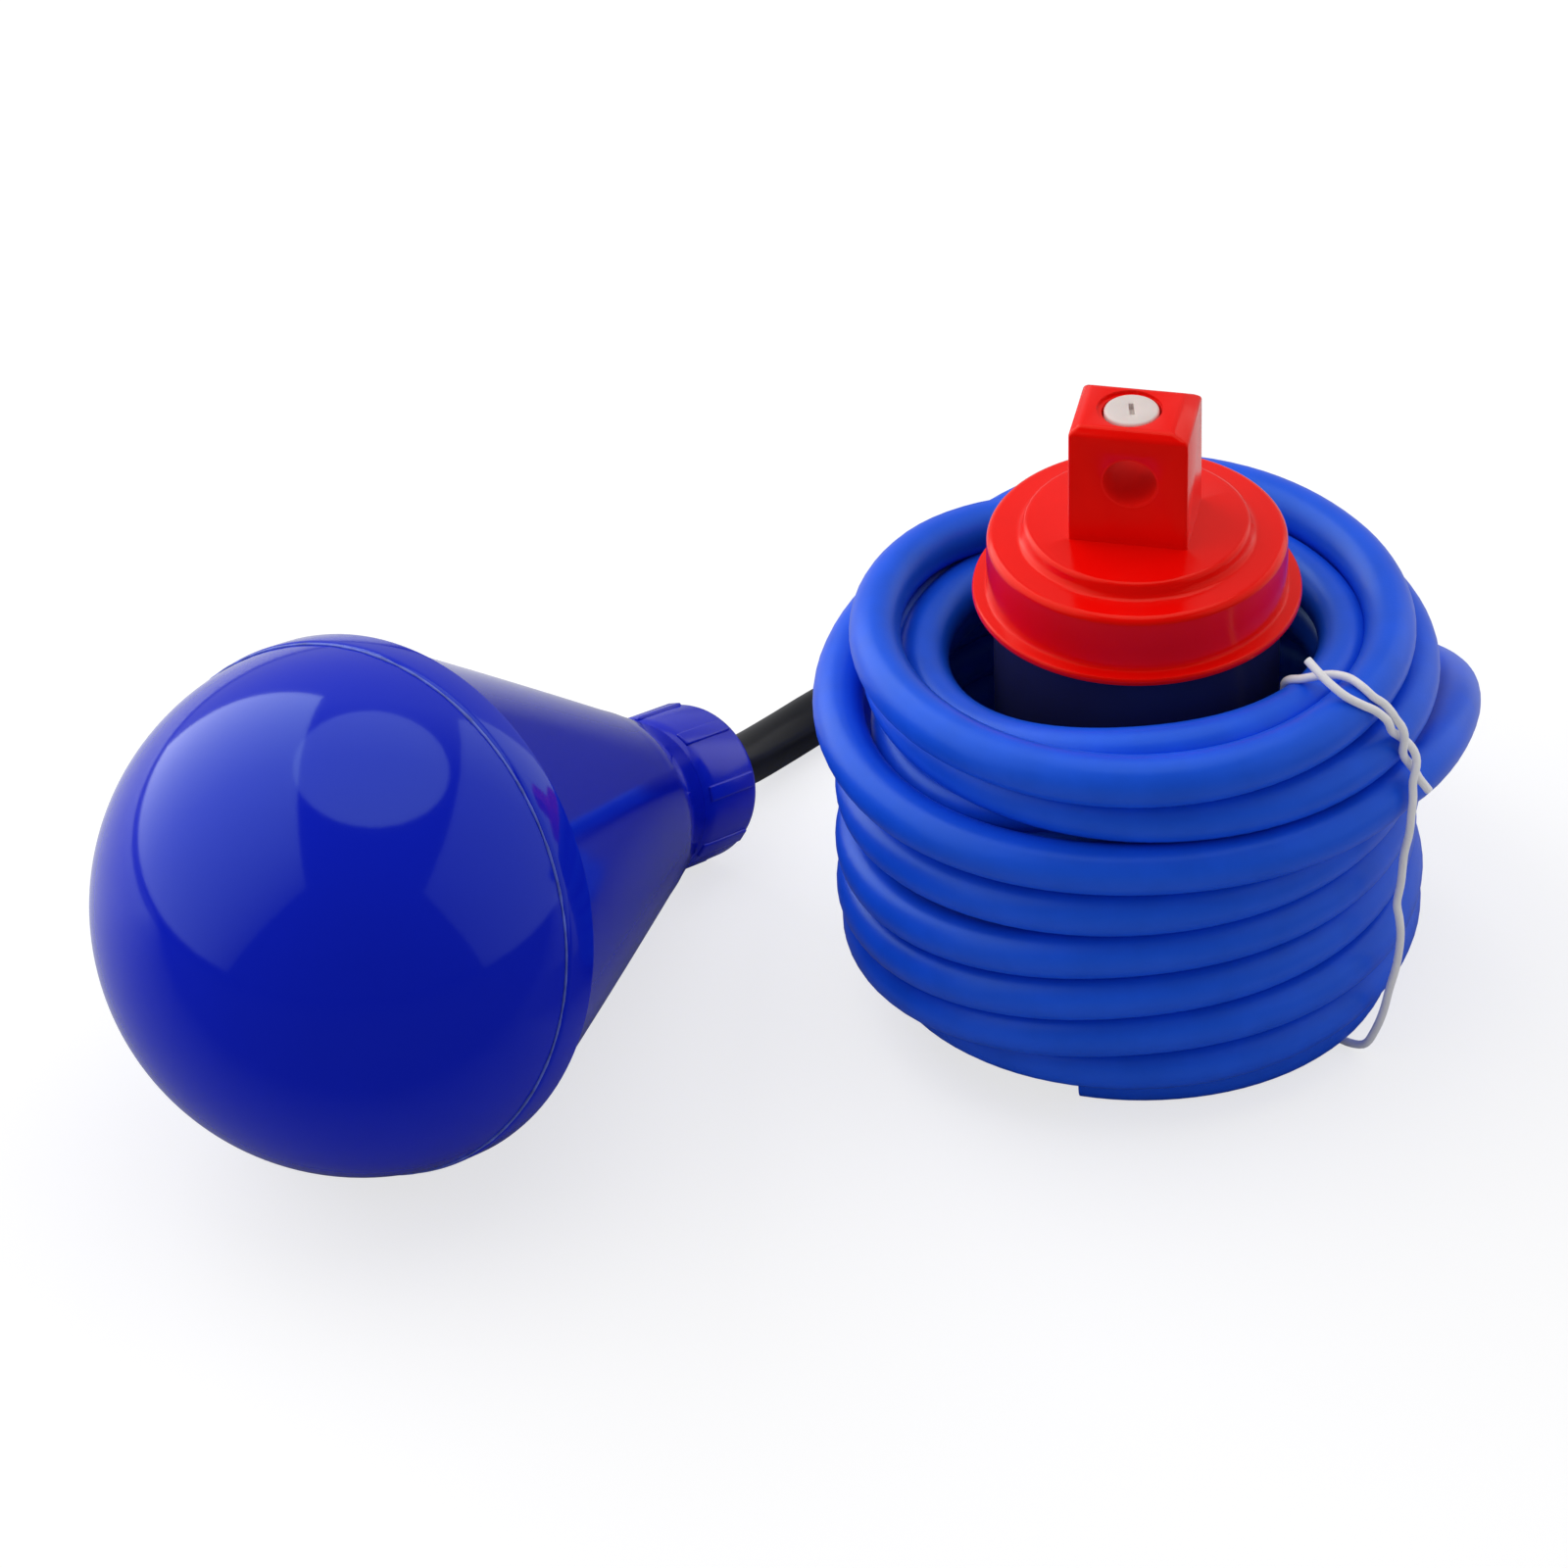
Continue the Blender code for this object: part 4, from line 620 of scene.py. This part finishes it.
# Counterweight case. A dark navy moulded cup that holds the iron slug. Its side shows only as a
# narrow shadowed strip under the cap.
CASE_RADIUS = 0.0200
CASE_INSIDE = 0.0178
CASE_FLOOR = 0.0030
CASE_HEIGHT = 0.0652
CASE_NAVY = (0.020, 0.022, 0.090)

case_navy = moulded("case_polypropylene", CASE_NAVY, 0.30, 0.15, 700.0, 0.00003, 60.0)
case_profile = [
    (0.0, CASE_FLOOR),
    (CASE_INSIDE, CASE_FLOOR),
    (CASE_INSIDE, CASE_HEIGHT),
    (CASE_RADIUS, CASE_HEIGHT),
    (CASE_RADIUS, 0.0010),
    (0.01985, 0.0005),
    (0.0195, 0.00015),
    (0.0190, 0.0),
    (0.0, 0.0),
]
case = add_piece("weight_cup", turned_mesh("weight_cup", case_profile, 128), case_navy)
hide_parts("weight_case")

# Counterweight cap. Glossy red moulding: a flange over the cup, a drum with a rounded top edge,
# a low plateau and a square head with a hole for the cable and a bore for the clamping screw.
CAP_RED = (0.940, 0.0020, 0.0006)
CAP_SEAT = 0.0655
DRUM_RADIUS = 0.0208
DRUM_TOP = 0.0752
DRUM_EDGE = 0.0011
PLATEAU_TOP = 0.0774
CAP_INSIDE = 0.0730
SPIGOT_END = 0.0595
HEAD_TOP = 0.0956
HEAD_HALF_WIDTH = 0.0083
HEAD_HALF_DEPTH = 0.00635
HEAD_OFFSET = -0.0003
HEAD_TURN = math.radians(-14.0)
HOLE_HEIGHT = 0.0875
HOLE_RADIUS = 0.0037
SCREW_X = -0.0008
BORE_RADIUS = 0.0041
RIM_RADIUS = 0.0045
RIM_DEPTH = 0.0005
ABOVE_HEAD = 0.098

cap_red = moulded("cap_polypropylene", CAP_RED, 0.17, 0.05, 500.0, 0.00002, 40.0)
shader_inputs(cap_red)["Specular Tint"].default_value = (1.0, 0.42, 0.28, 1.0)
# The wall of the cable hole has a duller finish than the outside.
cap_nodes = cap_red.node_tree.nodes
cap_links = cap_red.node_tree.links
hole_frame = cap_nodes.new("ShaderNodeMapping")
hole_frame.inputs["Rotation"].default_value[2] = -HEAD_TURN
hole_frame.inputs["Location"].default_value[2] = -HOLE_HEIGHT
cap_links.new(cap_nodes["Texture Coordinate"].outputs["Object"], hole_frame.inputs["Vector"])
across_hole = cap_nodes.new("ShaderNodeVectorMath")
across_hole.operation = "MULTIPLY"
across_hole.inputs[1].default_value = (1.0, 0.0, 1.0)
cap_links.new(hole_frame.outputs["Vector"], across_hole.inputs[0])
from_axis = cap_nodes.new("ShaderNodeVectorMath")
from_axis.operation = "LENGTH"
cap_links.new(across_hole.outputs["Vector"], from_axis.inputs[0])
core_marks = cap_nodes.new("ShaderNodeMapRange")
core_marks.inputs["From Min"].default_value = 0.0038
core_marks.inputs["From Max"].default_value = 0.0041
core_marks.inputs["To Min"].default_value = 0.75
core_marks.inputs["To Max"].default_value = 0.0
cap_links.new(from_axis.outputs["Value"], core_marks.inputs["Value"])
duller = cap_nodes.new("ShaderNodeMath")
duller.operation = "MAXIMUM"
cap_links.new(cap_nodes["Map Range"].outputs["Result"], duller.inputs[0])
cap_links.new(core_marks.outputs["Result"], duller.inputs[1])
cap_links.new(duller.outputs["Value"], shader_inputs(cap_red)["Roughness"])
drum_profile = [
    (0.0, PLATEAU_TOP),
    (0.0149, PLATEAU_TOP),
    (0.0152, 0.07736),
    (0.01545, 0.07722),
    (0.01562, 0.0770),
    (0.01572, 0.0766),
    (0.01582, 0.0761),
    (0.01598, 0.07572),
    (0.01622, 0.07542),
    (0.01655, 0.07526),
    (0.0170, DRUM_TOP),
]
for i in range(9):
    angle = math.pi / 2.0 * i / 8.0
    out = DRUM_RADIUS - DRUM_EDGE + DRUM_EDGE * math.sin(angle)
    drum_profile.append((out, DRUM_TOP - DRUM_EDGE + DRUM_EDGE * math.cos(angle)))
drum_profile += [
    (0.02088, 0.0674),
    (0.02095, 0.0670),
    (0.02110, 0.06680),
    (0.0214, 0.0667),
    (0.02245, 0.0667),
    (0.02270, 0.06662),
    (0.02284, 0.06644),
    (0.0229, 0.0662),
    (0.0229, 0.0659),
    (0.02284, 0.06566),
    (0.0226, CAP_SEAT),
    (0.0175, CAP_SEAT),
    (0.0175, SPIGOT_END),
    (0.0155, SPIGOT_END),
    (0.0155, CAP_INSIDE),
    (0.0, CAP_INSIDE),
]


def bevelled_block(name, size, centre, width, segments):
    """A block with all its edges rounded."""
    shape = bmesh.new()
    bmesh.ops.create_cube(shape, size=1.0)
    bmesh.ops.scale(shape, vec=size, verts=shape.verts)
    bmesh.ops.translate(shape, vec=centre, verts=shape.verts)
    bmesh.ops.bevel(
        shape, geom=shape.edges[:], offset=width, segments=segments, profile=0.5, affect="EDGES"
    )
    mesh = bpy.data.meshes.new(name)
    shape.to_mesh(mesh)
    shape.free()
    return mesh


def rod_mesh(name, radius, start, end, sides):
    """A plain round rod between two points, used to cut bores."""
    start = Vector(start)
    end = Vector(end)
    shape = bmesh.new()
    bmesh.ops.create_cone(
        shape,
        cap_ends=True,
        segments=sides,
        radius1=radius,
        radius2=radius,
        depth=(end - start).length,
    )
    turn = (end - start).to_track_quat("Z", "Y").to_matrix().to_4x4()
    place = Matrix.Translation((start + end) / 2) @ turn
    bmesh.ops.transform(shape, matrix=place, verts=shape.verts)
    mesh = bpy.data.meshes.new(name)
    shape.to_mesh(mesh)
    shape.free()
    return mesh


def carved(mesh, steps, rounding=0.0):
    """The mesh after joining or cutting the given meshes, with its sharp edges rounded."""
    holder = bpy.data.objects.new("carved", mesh)
    bpy.context.scene.collection.objects.link(holder)
    helpers = []
    for operation, other in steps:
        helper = bpy.data.objects.new("helper", other)
        bpy.context.scene.collection.objects.link(helper)
        helpers.append(helper)
        modifier = holder.modifiers.new("cut", "BOOLEAN")
        modifier.operation = operation
        modifier.solver = "EXACT"
        modifier.object = helper
    if rounding:
        modifier = holder.modifiers.new("edges", "BEVEL")
        modifier.width = rounding
        modifier.segments = 3
        modifier.limit_method = "ANGLE"
        modifier.angle_limit = math.radians(50)
        modifier.use_clamp_overlap = True
    bpy.context.view_layer.update()
    depsgraph = bpy.context.evaluated_depsgraph_get()
    result = bpy.data.meshes.new_from_object(holder.evaluated_get(depsgraph))
    for item in [holder] + helpers:
        bpy.data.objects.remove(item, do_unlink=True)
    result.shade_smooth()
    result.set_sharp_from_angle(angle=math.radians(32))
    return result


# Each ring of the head's block: its height, and how far in its left, right, front and back sides
# are. The top edges are chamfers of unequal width.
head_shape = bmesh.new()
rings = []
for height, left, right, front, back in (
    (0.0763, 0.0, 0.0, 0.0, 0.0),
    (HEAD_TOP - 0.00105, 0.0001, 0.0001, 0.0001, 0.0001),
    (HEAD_TOP, 0.0015, 0.0024, 0.0011, 0.0016),
):
    x0, x1 = -HEAD_HALF_WIDTH + left, HEAD_HALF_WIDTH - right
    y0, y1 = -HEAD_HALF_DEPTH + front, HEAD_HALF_DEPTH - back
    corners = ((x0, y0, height), (x1, y0, height), (x1, y1, height), (x0, y1, height))
    rings.append([head_shape.verts.new(corner) for corner in corners])
for lower, upper in zip(rings, rings[1:]):
    for i in range(4):
        head_shape.faces.new((lower[i], lower[i - 3], upper[i - 3], upper[i]))
head_shape.faces.new(reversed(rings[0]))
head_shape.faces.new(rings[-1])
bmesh.ops.bevel(
    head_shape, geom=head_shape.edges[:], offset=0.0004, segments=4, profile=0.5, affect="EDGES"
)
head = bpy.data.meshes.new("head")
head_shape.to_mesh(head)
head_shape.free()
hole_ends = [(-HEAD_OFFSET, y, HOLE_HEIGHT) for y in (-0.012, 0.012)]
cable_hole = rod_mesh("hole", HOLE_RADIUS, *hole_ends, 64)
for shape in (head, cable_hole):
    turn = Matrix.Rotation(HEAD_TURN, 4, "Z")
    shape.transform(Matrix.Translation((HEAD_OFFSET, 0, 0)) @ turn)
bore_ends = [(SCREW_X, 0, z) for z in (HOLE_HEIGHT, ABOVE_HEAD)]
screw_bore = rod_mesh("bore", BORE_RADIUS, *bore_ends, 64)
rim_ends = [(SCREW_X - 0.0003, 0, z) for z in (HEAD_TOP - RIM_DEPTH, ABOVE_HEAD)]
screw_rim = rod_mesh("rim", RIM_RADIUS, *rim_ends, 64)
cap_mesh = carved(
    turned_mesh("drum", drum_profile, 128),
    [
        ("UNION", head),
        ("DIFFERENCE", cable_hole),
        ("DIFFERENCE", screw_bore),
        ("DIFFERENCE", screw_rim),
    ],
    0.00030,
)
cap = add_piece("red_cap", cap_mesh, cap_red)
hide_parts("weight_cap")

# Clamping screw. Off-white nylon, slotted for a small screwdriver, turned down level with the
# head's top.
SCREW_TOP = 0.0955
SCREW_RADIUS = 0.0038
SCREW_END = 0.0922
SLOT_SIZE = (0.0007, 0.0028, 0.0020)

nylon = moulded("screw_nylon", (0.76, 0.66, 0.63), 0.38, 0.05, 1200.0, 0.00003, 200.0)
shader_inputs(nylon)["Subsurface Weight"].default_value = 0.15
shader_inputs(nylon)["Subsurface Scale"].default_value = 0.0008
screw_profile = [
    (0.0, SCREW_TOP),
    (0.0034, SCREW_TOP),
    (0.00355, 0.09546),
    (0.0037, 0.09534),
    (SCREW_RADIUS, 0.0951),
    (SCREW_RADIUS, 0.0926),
    (0.0035, SCREW_END),
    (0.0, SCREW_END),
]
slot_cut = bevelled_block("slot", SLOT_SIZE, (0, 0, HEAD_TOP), 0.0001, 2)
screw_body = turned_mesh("screw", screw_profile, 64)
screw_mesh = carved(screw_body, [("DIFFERENCE", slot_cut)], 0.00008)
screw_mesh.transform(Matrix.Translation((SCREW_X, 0, 0)))
screw = add_piece("nylon_screw", screw_mesh, nylon)
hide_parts("clamp_screw")

# Pieces inside the float and the counterweight, which keep their own solids: the switch
# canister with its race, ball and microswitch, the core wires, the gland's seal and washer, and
# the iron slug.
inner_grey = moulded("canister_plastic", (0.30, 0.31, 0.33), 0.48, 0.06, 900.0, 0.00003, 80.0)
inner_nylon = moulded("inner_nylon", (0.72, 0.70, 0.65), 0.45, 0.05, 900.0, 0.00003, 120.0)
switch_black = moulded("switch_phenolic", (0.022, 0.022, 0.022), 0.46, 0.20, 1400.0, 0.00003, 200.0)
seal_rubber = moulded("seal_rubber", (0.016, 0.016, 0.016), 0.70, 0.25, 1600.0, 0.00004, 250.0)
for name, piece_material in (
    ("switch_canister", inner_grey),
    ("canister_lid", inner_grey),
    ("ball_race", inner_nylon),
    ("gland_washer", inner_nylon),
    ("switch_plunger", inner_nylon),
    ("switch_body", switch_black),
    ("gland_seal", seal_rubber),
    ("core_wire_brown", moulded("core_brown_pvc", CORE_BROWN, 0.42, 0.10)),
    ("core_wire_blue", moulded("core_blue_pvc", CORE_BLUE, 0.42, 0.10)),
    ("core_wire_black", moulded("core_black_pvc", CORE_BLACK, 0.42, 0.10)),
):
    node_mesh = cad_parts[name].data
    node_mesh.materials.clear()
    node_mesh.materials.append(piece_material)
for name, colour, roughness, grain in (
    ("steel_ball", (0.62, 0.63, 0.65), 0.10, 300.0),
    ("switch_lever", (0.66, 0.65, 0.62), 0.28, 1800.0),
    ("lever_pin", (0.62, 0.63, 0.65), 0.22, 1800.0),
    ("switch_screw_1", (0.66, 0.66, 0.64), 0.25, 1500.0),
    ("switch_screw_2", (0.66, 0.66, 0.64), 0.25, 1500.0),
    ("terminal_common", (0.72, 0.52, 0.22), 0.28, 1500.0),
    ("terminal_open", (0.72, 0.52, 0.22), 0.28, 1500.0),
    ("terminal_closed", (0.72, 0.52, 0.22), 0.28, 1500.0),
    ("weight_slug", (0.16, 0.155, 0.15), 0.62, 500.0),
):
    metal = moulded(name + "_metal", colour, roughness, 0.10, grain, 0.00003, 150.0)
    shader_inputs(metal)["Metallic"].default_value = 1.0
    node_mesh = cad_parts[name].data
    node_mesh.materials.clear()
    node_mesh.materials.append(metal)

# Floor, lamps and camera. A plain white floor that keeps a soft shadow, a softbox on either
# side, a round lamp above, and the camera where the photograph was taken from.
FLOOR_REACH = 4
FLOOR_GREY = 0.72
FLOOR_GLOW = 0.70
WORLD_LIGHT = 0.26
LAMP_TARGET = Vector((-0.060, -0.010, 0.040))
LAMP_DISTANCE = 0.80
CAMERA_PLACE = (-0.05022, -0.60893, 0.50257)
CAMERA_TILT = math.radians(52.43)
CAMERA_ROLL = -0.0458
CAMERA_LENS = 123.75

floor_mesh = bpy.data.meshes.new("floor")
corners = [(x * FLOOR_REACH, y * FLOOR_REACH, 0) for x, y in ((-1, -1), (1, -1), (1, 1), (-1, 1))]
floor_mesh.from_pydata(corners, [], [(0, 1, 2, 3)])
floor = bpy.data.objects.new("floor", floor_mesh)
bpy.context.scene.collection.objects.link(floor)
floor_paint = bpy.data.materials.new("floor_paint")
floor_paint.use_nodes = True
nodes = floor_paint.node_tree.nodes
links = floor_paint.node_tree.links
nodes.clear()
diffuse = nodes.new("ShaderNodeBsdfDiffuse")
diffuse.inputs["Color"].default_value = (FLOOR_GREY, FLOOR_GREY, FLOOR_GREY, 1.0)
place = nodes.new("ShaderNodeTexCoord")
apart = nodes.new("ShaderNodeSeparateXYZ")
# In reflections only, the floor is up to 95% darker in front of the object, and up to 85% darker in
# a strip under the coil that runs from front to back. Both are painted dark reflections: the front
# one stands in for a dark room in front, and the strip stands in for the coil as the float would
# reflect it. The camera does not see this.
reach = nodes.new("ShaderNodeMapRange")
reach.inputs["From Min"].default_value = -0.10
reach.inputs["From Max"].default_value = 0.03
reach.inputs["To Min"].default_value = 0.95
reach.inputs["To Max"].default_value = 0.0
sideways = nodes.new("ShaderNodeMapRange")
sideways.inputs["From Min"].default_value = -0.15
sideways.inputs["From Max"].default_value = 0.15
painted_reflection_strip = nodes.new("ShaderNodeValToRGB")
painted_reflection_strip.color_ramp.elements[0].position = 0.18
painted_reflection_strip.color_ramp.elements[0].color = (0.0, 0.0, 0.0, 1.0)
painted_reflection_strip.color_ramp.elements[1].position = 0.74
painted_reflection_strip.color_ramp.elements[1].color = (0.0, 0.0, 0.0, 1.0)
for position in (0.42, 0.60):
    painted_reflection_strip.color_ramp.elements.new(position).color = (0.85, 0.85, 0.85, 1.0)
darker = nodes.new("ShaderNodeMath")
darker.operation = "MAXIMUM"
dim = nodes.new("ShaderNodeMath")
dim.operation = "MULTIPLY"
half = nodes.new("ShaderNodeMath")
half.operation = "MULTIPLY_ADD"
half.inputs[1].default_value = 0.5
dark = nodes.new("ShaderNodeBsdfDiffuse")
dark.inputs["Color"].default_value = (0.0, 0.0, 0.0, 1.0)
flagged = nodes.new("ShaderNodeMixShader")
glow = nodes.new("ShaderNodeEmission")
ray = nodes.new("ShaderNodeLightPath")
level = nodes.new("ShaderNodeMath")
level.operation = "MULTIPLY"
level.inputs[1].default_value = FLOOR_GLOW
both = nodes.new("ShaderNodeAddShader")
output = nodes.new("ShaderNodeOutputMaterial")
links.new(ray.outputs["Is Camera Ray"], level.inputs[0])
links.new(level.outputs["Value"], glow.inputs["Strength"])
links.new(place.outputs["Object"], apart.inputs["Vector"])
links.new(apart.outputs["Y"], reach.inputs["Value"])
links.new(apart.outputs["X"], sideways.inputs["Value"])
links.new(sideways.outputs["Result"], painted_reflection_strip.inputs["Fac"])
links.new(reach.outputs["Result"], darker.inputs[0])
links.new(painted_reflection_strip.outputs["Color"], darker.inputs[1])
links.new(darker.outputs["Value"], dim.inputs[0])
links.new(ray.outputs["Is Glossy Ray"], dim.inputs[1])
links.new(ray.outputs["Is Camera Ray"], half.inputs[0])
links.new(dim.outputs["Value"], half.inputs[2])
links.new(half.outputs["Value"], flagged.inputs["Fac"])
links.new(diffuse.outputs["BSDF"], flagged.inputs[1])
links.new(dark.outputs["BSDF"], flagged.inputs[2])
links.new(flagged.outputs["Shader"], both.inputs[0])
links.new(glow.outputs["Emission"], both.inputs[1])
links.new(both.outputs["Shader"], output.inputs["Surface"])
floor_mesh.materials.append(floor_paint)

world = bpy.data.worlds.new("studio")
bpy.context.scene.world = world
world.use_nodes = True
nodes = world.node_tree.nodes
links = world.node_tree.links
background = nodes["Background"]
background.inputs["Color"].default_value = (1.0, 1.0, 1.0, 1.0)
place = nodes.new("ShaderNodeTexCoord")
# The world is white to the camera. To reflections it is half grey behind the object and nearly
# black everywhere else.
slope = nodes.new("ShaderNodeVectorMath")
slope.operation = "DOT_PRODUCT"
slope.inputs[1].default_value = (0.0, 1.0, 0.0)
backdrop = nodes.new("ShaderNodeMapRange")
backdrop.inputs["From Min"].default_value = 0.25
backdrop.inputs["From Max"].default_value = 0.70
backdrop.inputs["To Min"].default_value = 0.03
backdrop.inputs["To Max"].default_value = 0.50
ray = nodes.new("ShaderNodeLightPath")
soft = nodes.new("ShaderNodeMix")
soft.inputs[2].default_value = WORLD_LIGHT
seen = nodes.new("ShaderNodeMath")
seen.operation = "MAXIMUM"
links.new(place.outputs["Generated"], slope.inputs[0])
links.new(slope.outputs["Value"], backdrop.inputs["Value"])
links.new(ray.outputs["Is Glossy Ray"], soft.inputs[0])
links.new(backdrop.outputs["Result"], soft.inputs[3])
links.new(soft.outputs[0], seen.inputs[0])
links.new(ray.outputs["Is Camera Ray"], seen.inputs[1])
links.new(seen.outputs["Value"], background.inputs["Strength"])

for name, direction, width, height, power, near, far in (
    ("left_softbox", (-0.80, 0.09, 0.56), 1.80, 1.05, 8.6, 1.75, 0.15),
    ("right_softbox", (0.90, 0.00, 0.42), 1.60, 0.85, 2.4, 0.45, 1.60),
    ("top_lamp", (0.08, 0.13, 0.98), 0.85, 0.85, 2.0, 1.0, 1.0),
):
    lamp = bpy.data.lights.new(name, "AREA")
    lamp.shape = "DISK" if width == height else "RECTANGLE"
    lamp.size = width
    lamp.size_y = height
    lamp.energy = power
    lamp.use_nodes = True
    nodes = lamp.node_tree.nodes
    links = lamp.node_tree.links
    across = nodes.new("ShaderNodeNewGeometry")
    apart = nodes.new("ShaderNodeSeparateXYZ")
    fade = nodes.new("ShaderNodeMapRange")
    fade.inputs["To Min"].default_value = near
    fade.inputs["To Max"].default_value = far
    links.new(across.outputs["Parametric"], apart.inputs["Vector"])
    links.new(apart.outputs["X"], fade.inputs["Value"])
    links.new(fade.outputs["Result"], nodes["Emission"].inputs["Strength"])
    holder = bpy.data.objects.new(name, lamp)
    bpy.context.scene.collection.objects.link(holder)
    direction = Vector(direction).normalized()
    holder.location = LAMP_TARGET + direction * LAMP_DISTANCE
    holder.rotation_euler = (-direction).to_track_quat("-Z", "Y").to_euler()

camera = bpy.data.objects.new("camera", bpy.data.cameras.new("camera"))
bpy.context.scene.collection.objects.link(camera)
camera.data.sensor_width = 36.0
camera.data.lens = CAMERA_LENS
camera.data.clip_start = 0.01
camera.data.clip_end = 20.0
tilt = Matrix.Rotation(CAMERA_TILT, 4, "X") @ Matrix.Rotation(CAMERA_ROLL, 4, "Z")
camera.matrix_world = Matrix.Translation(CAMERA_PLACE) @ tilt
bpy.context.scene.camera = camera
bpy.context.scene.view_settings.view_transform = "Standard"
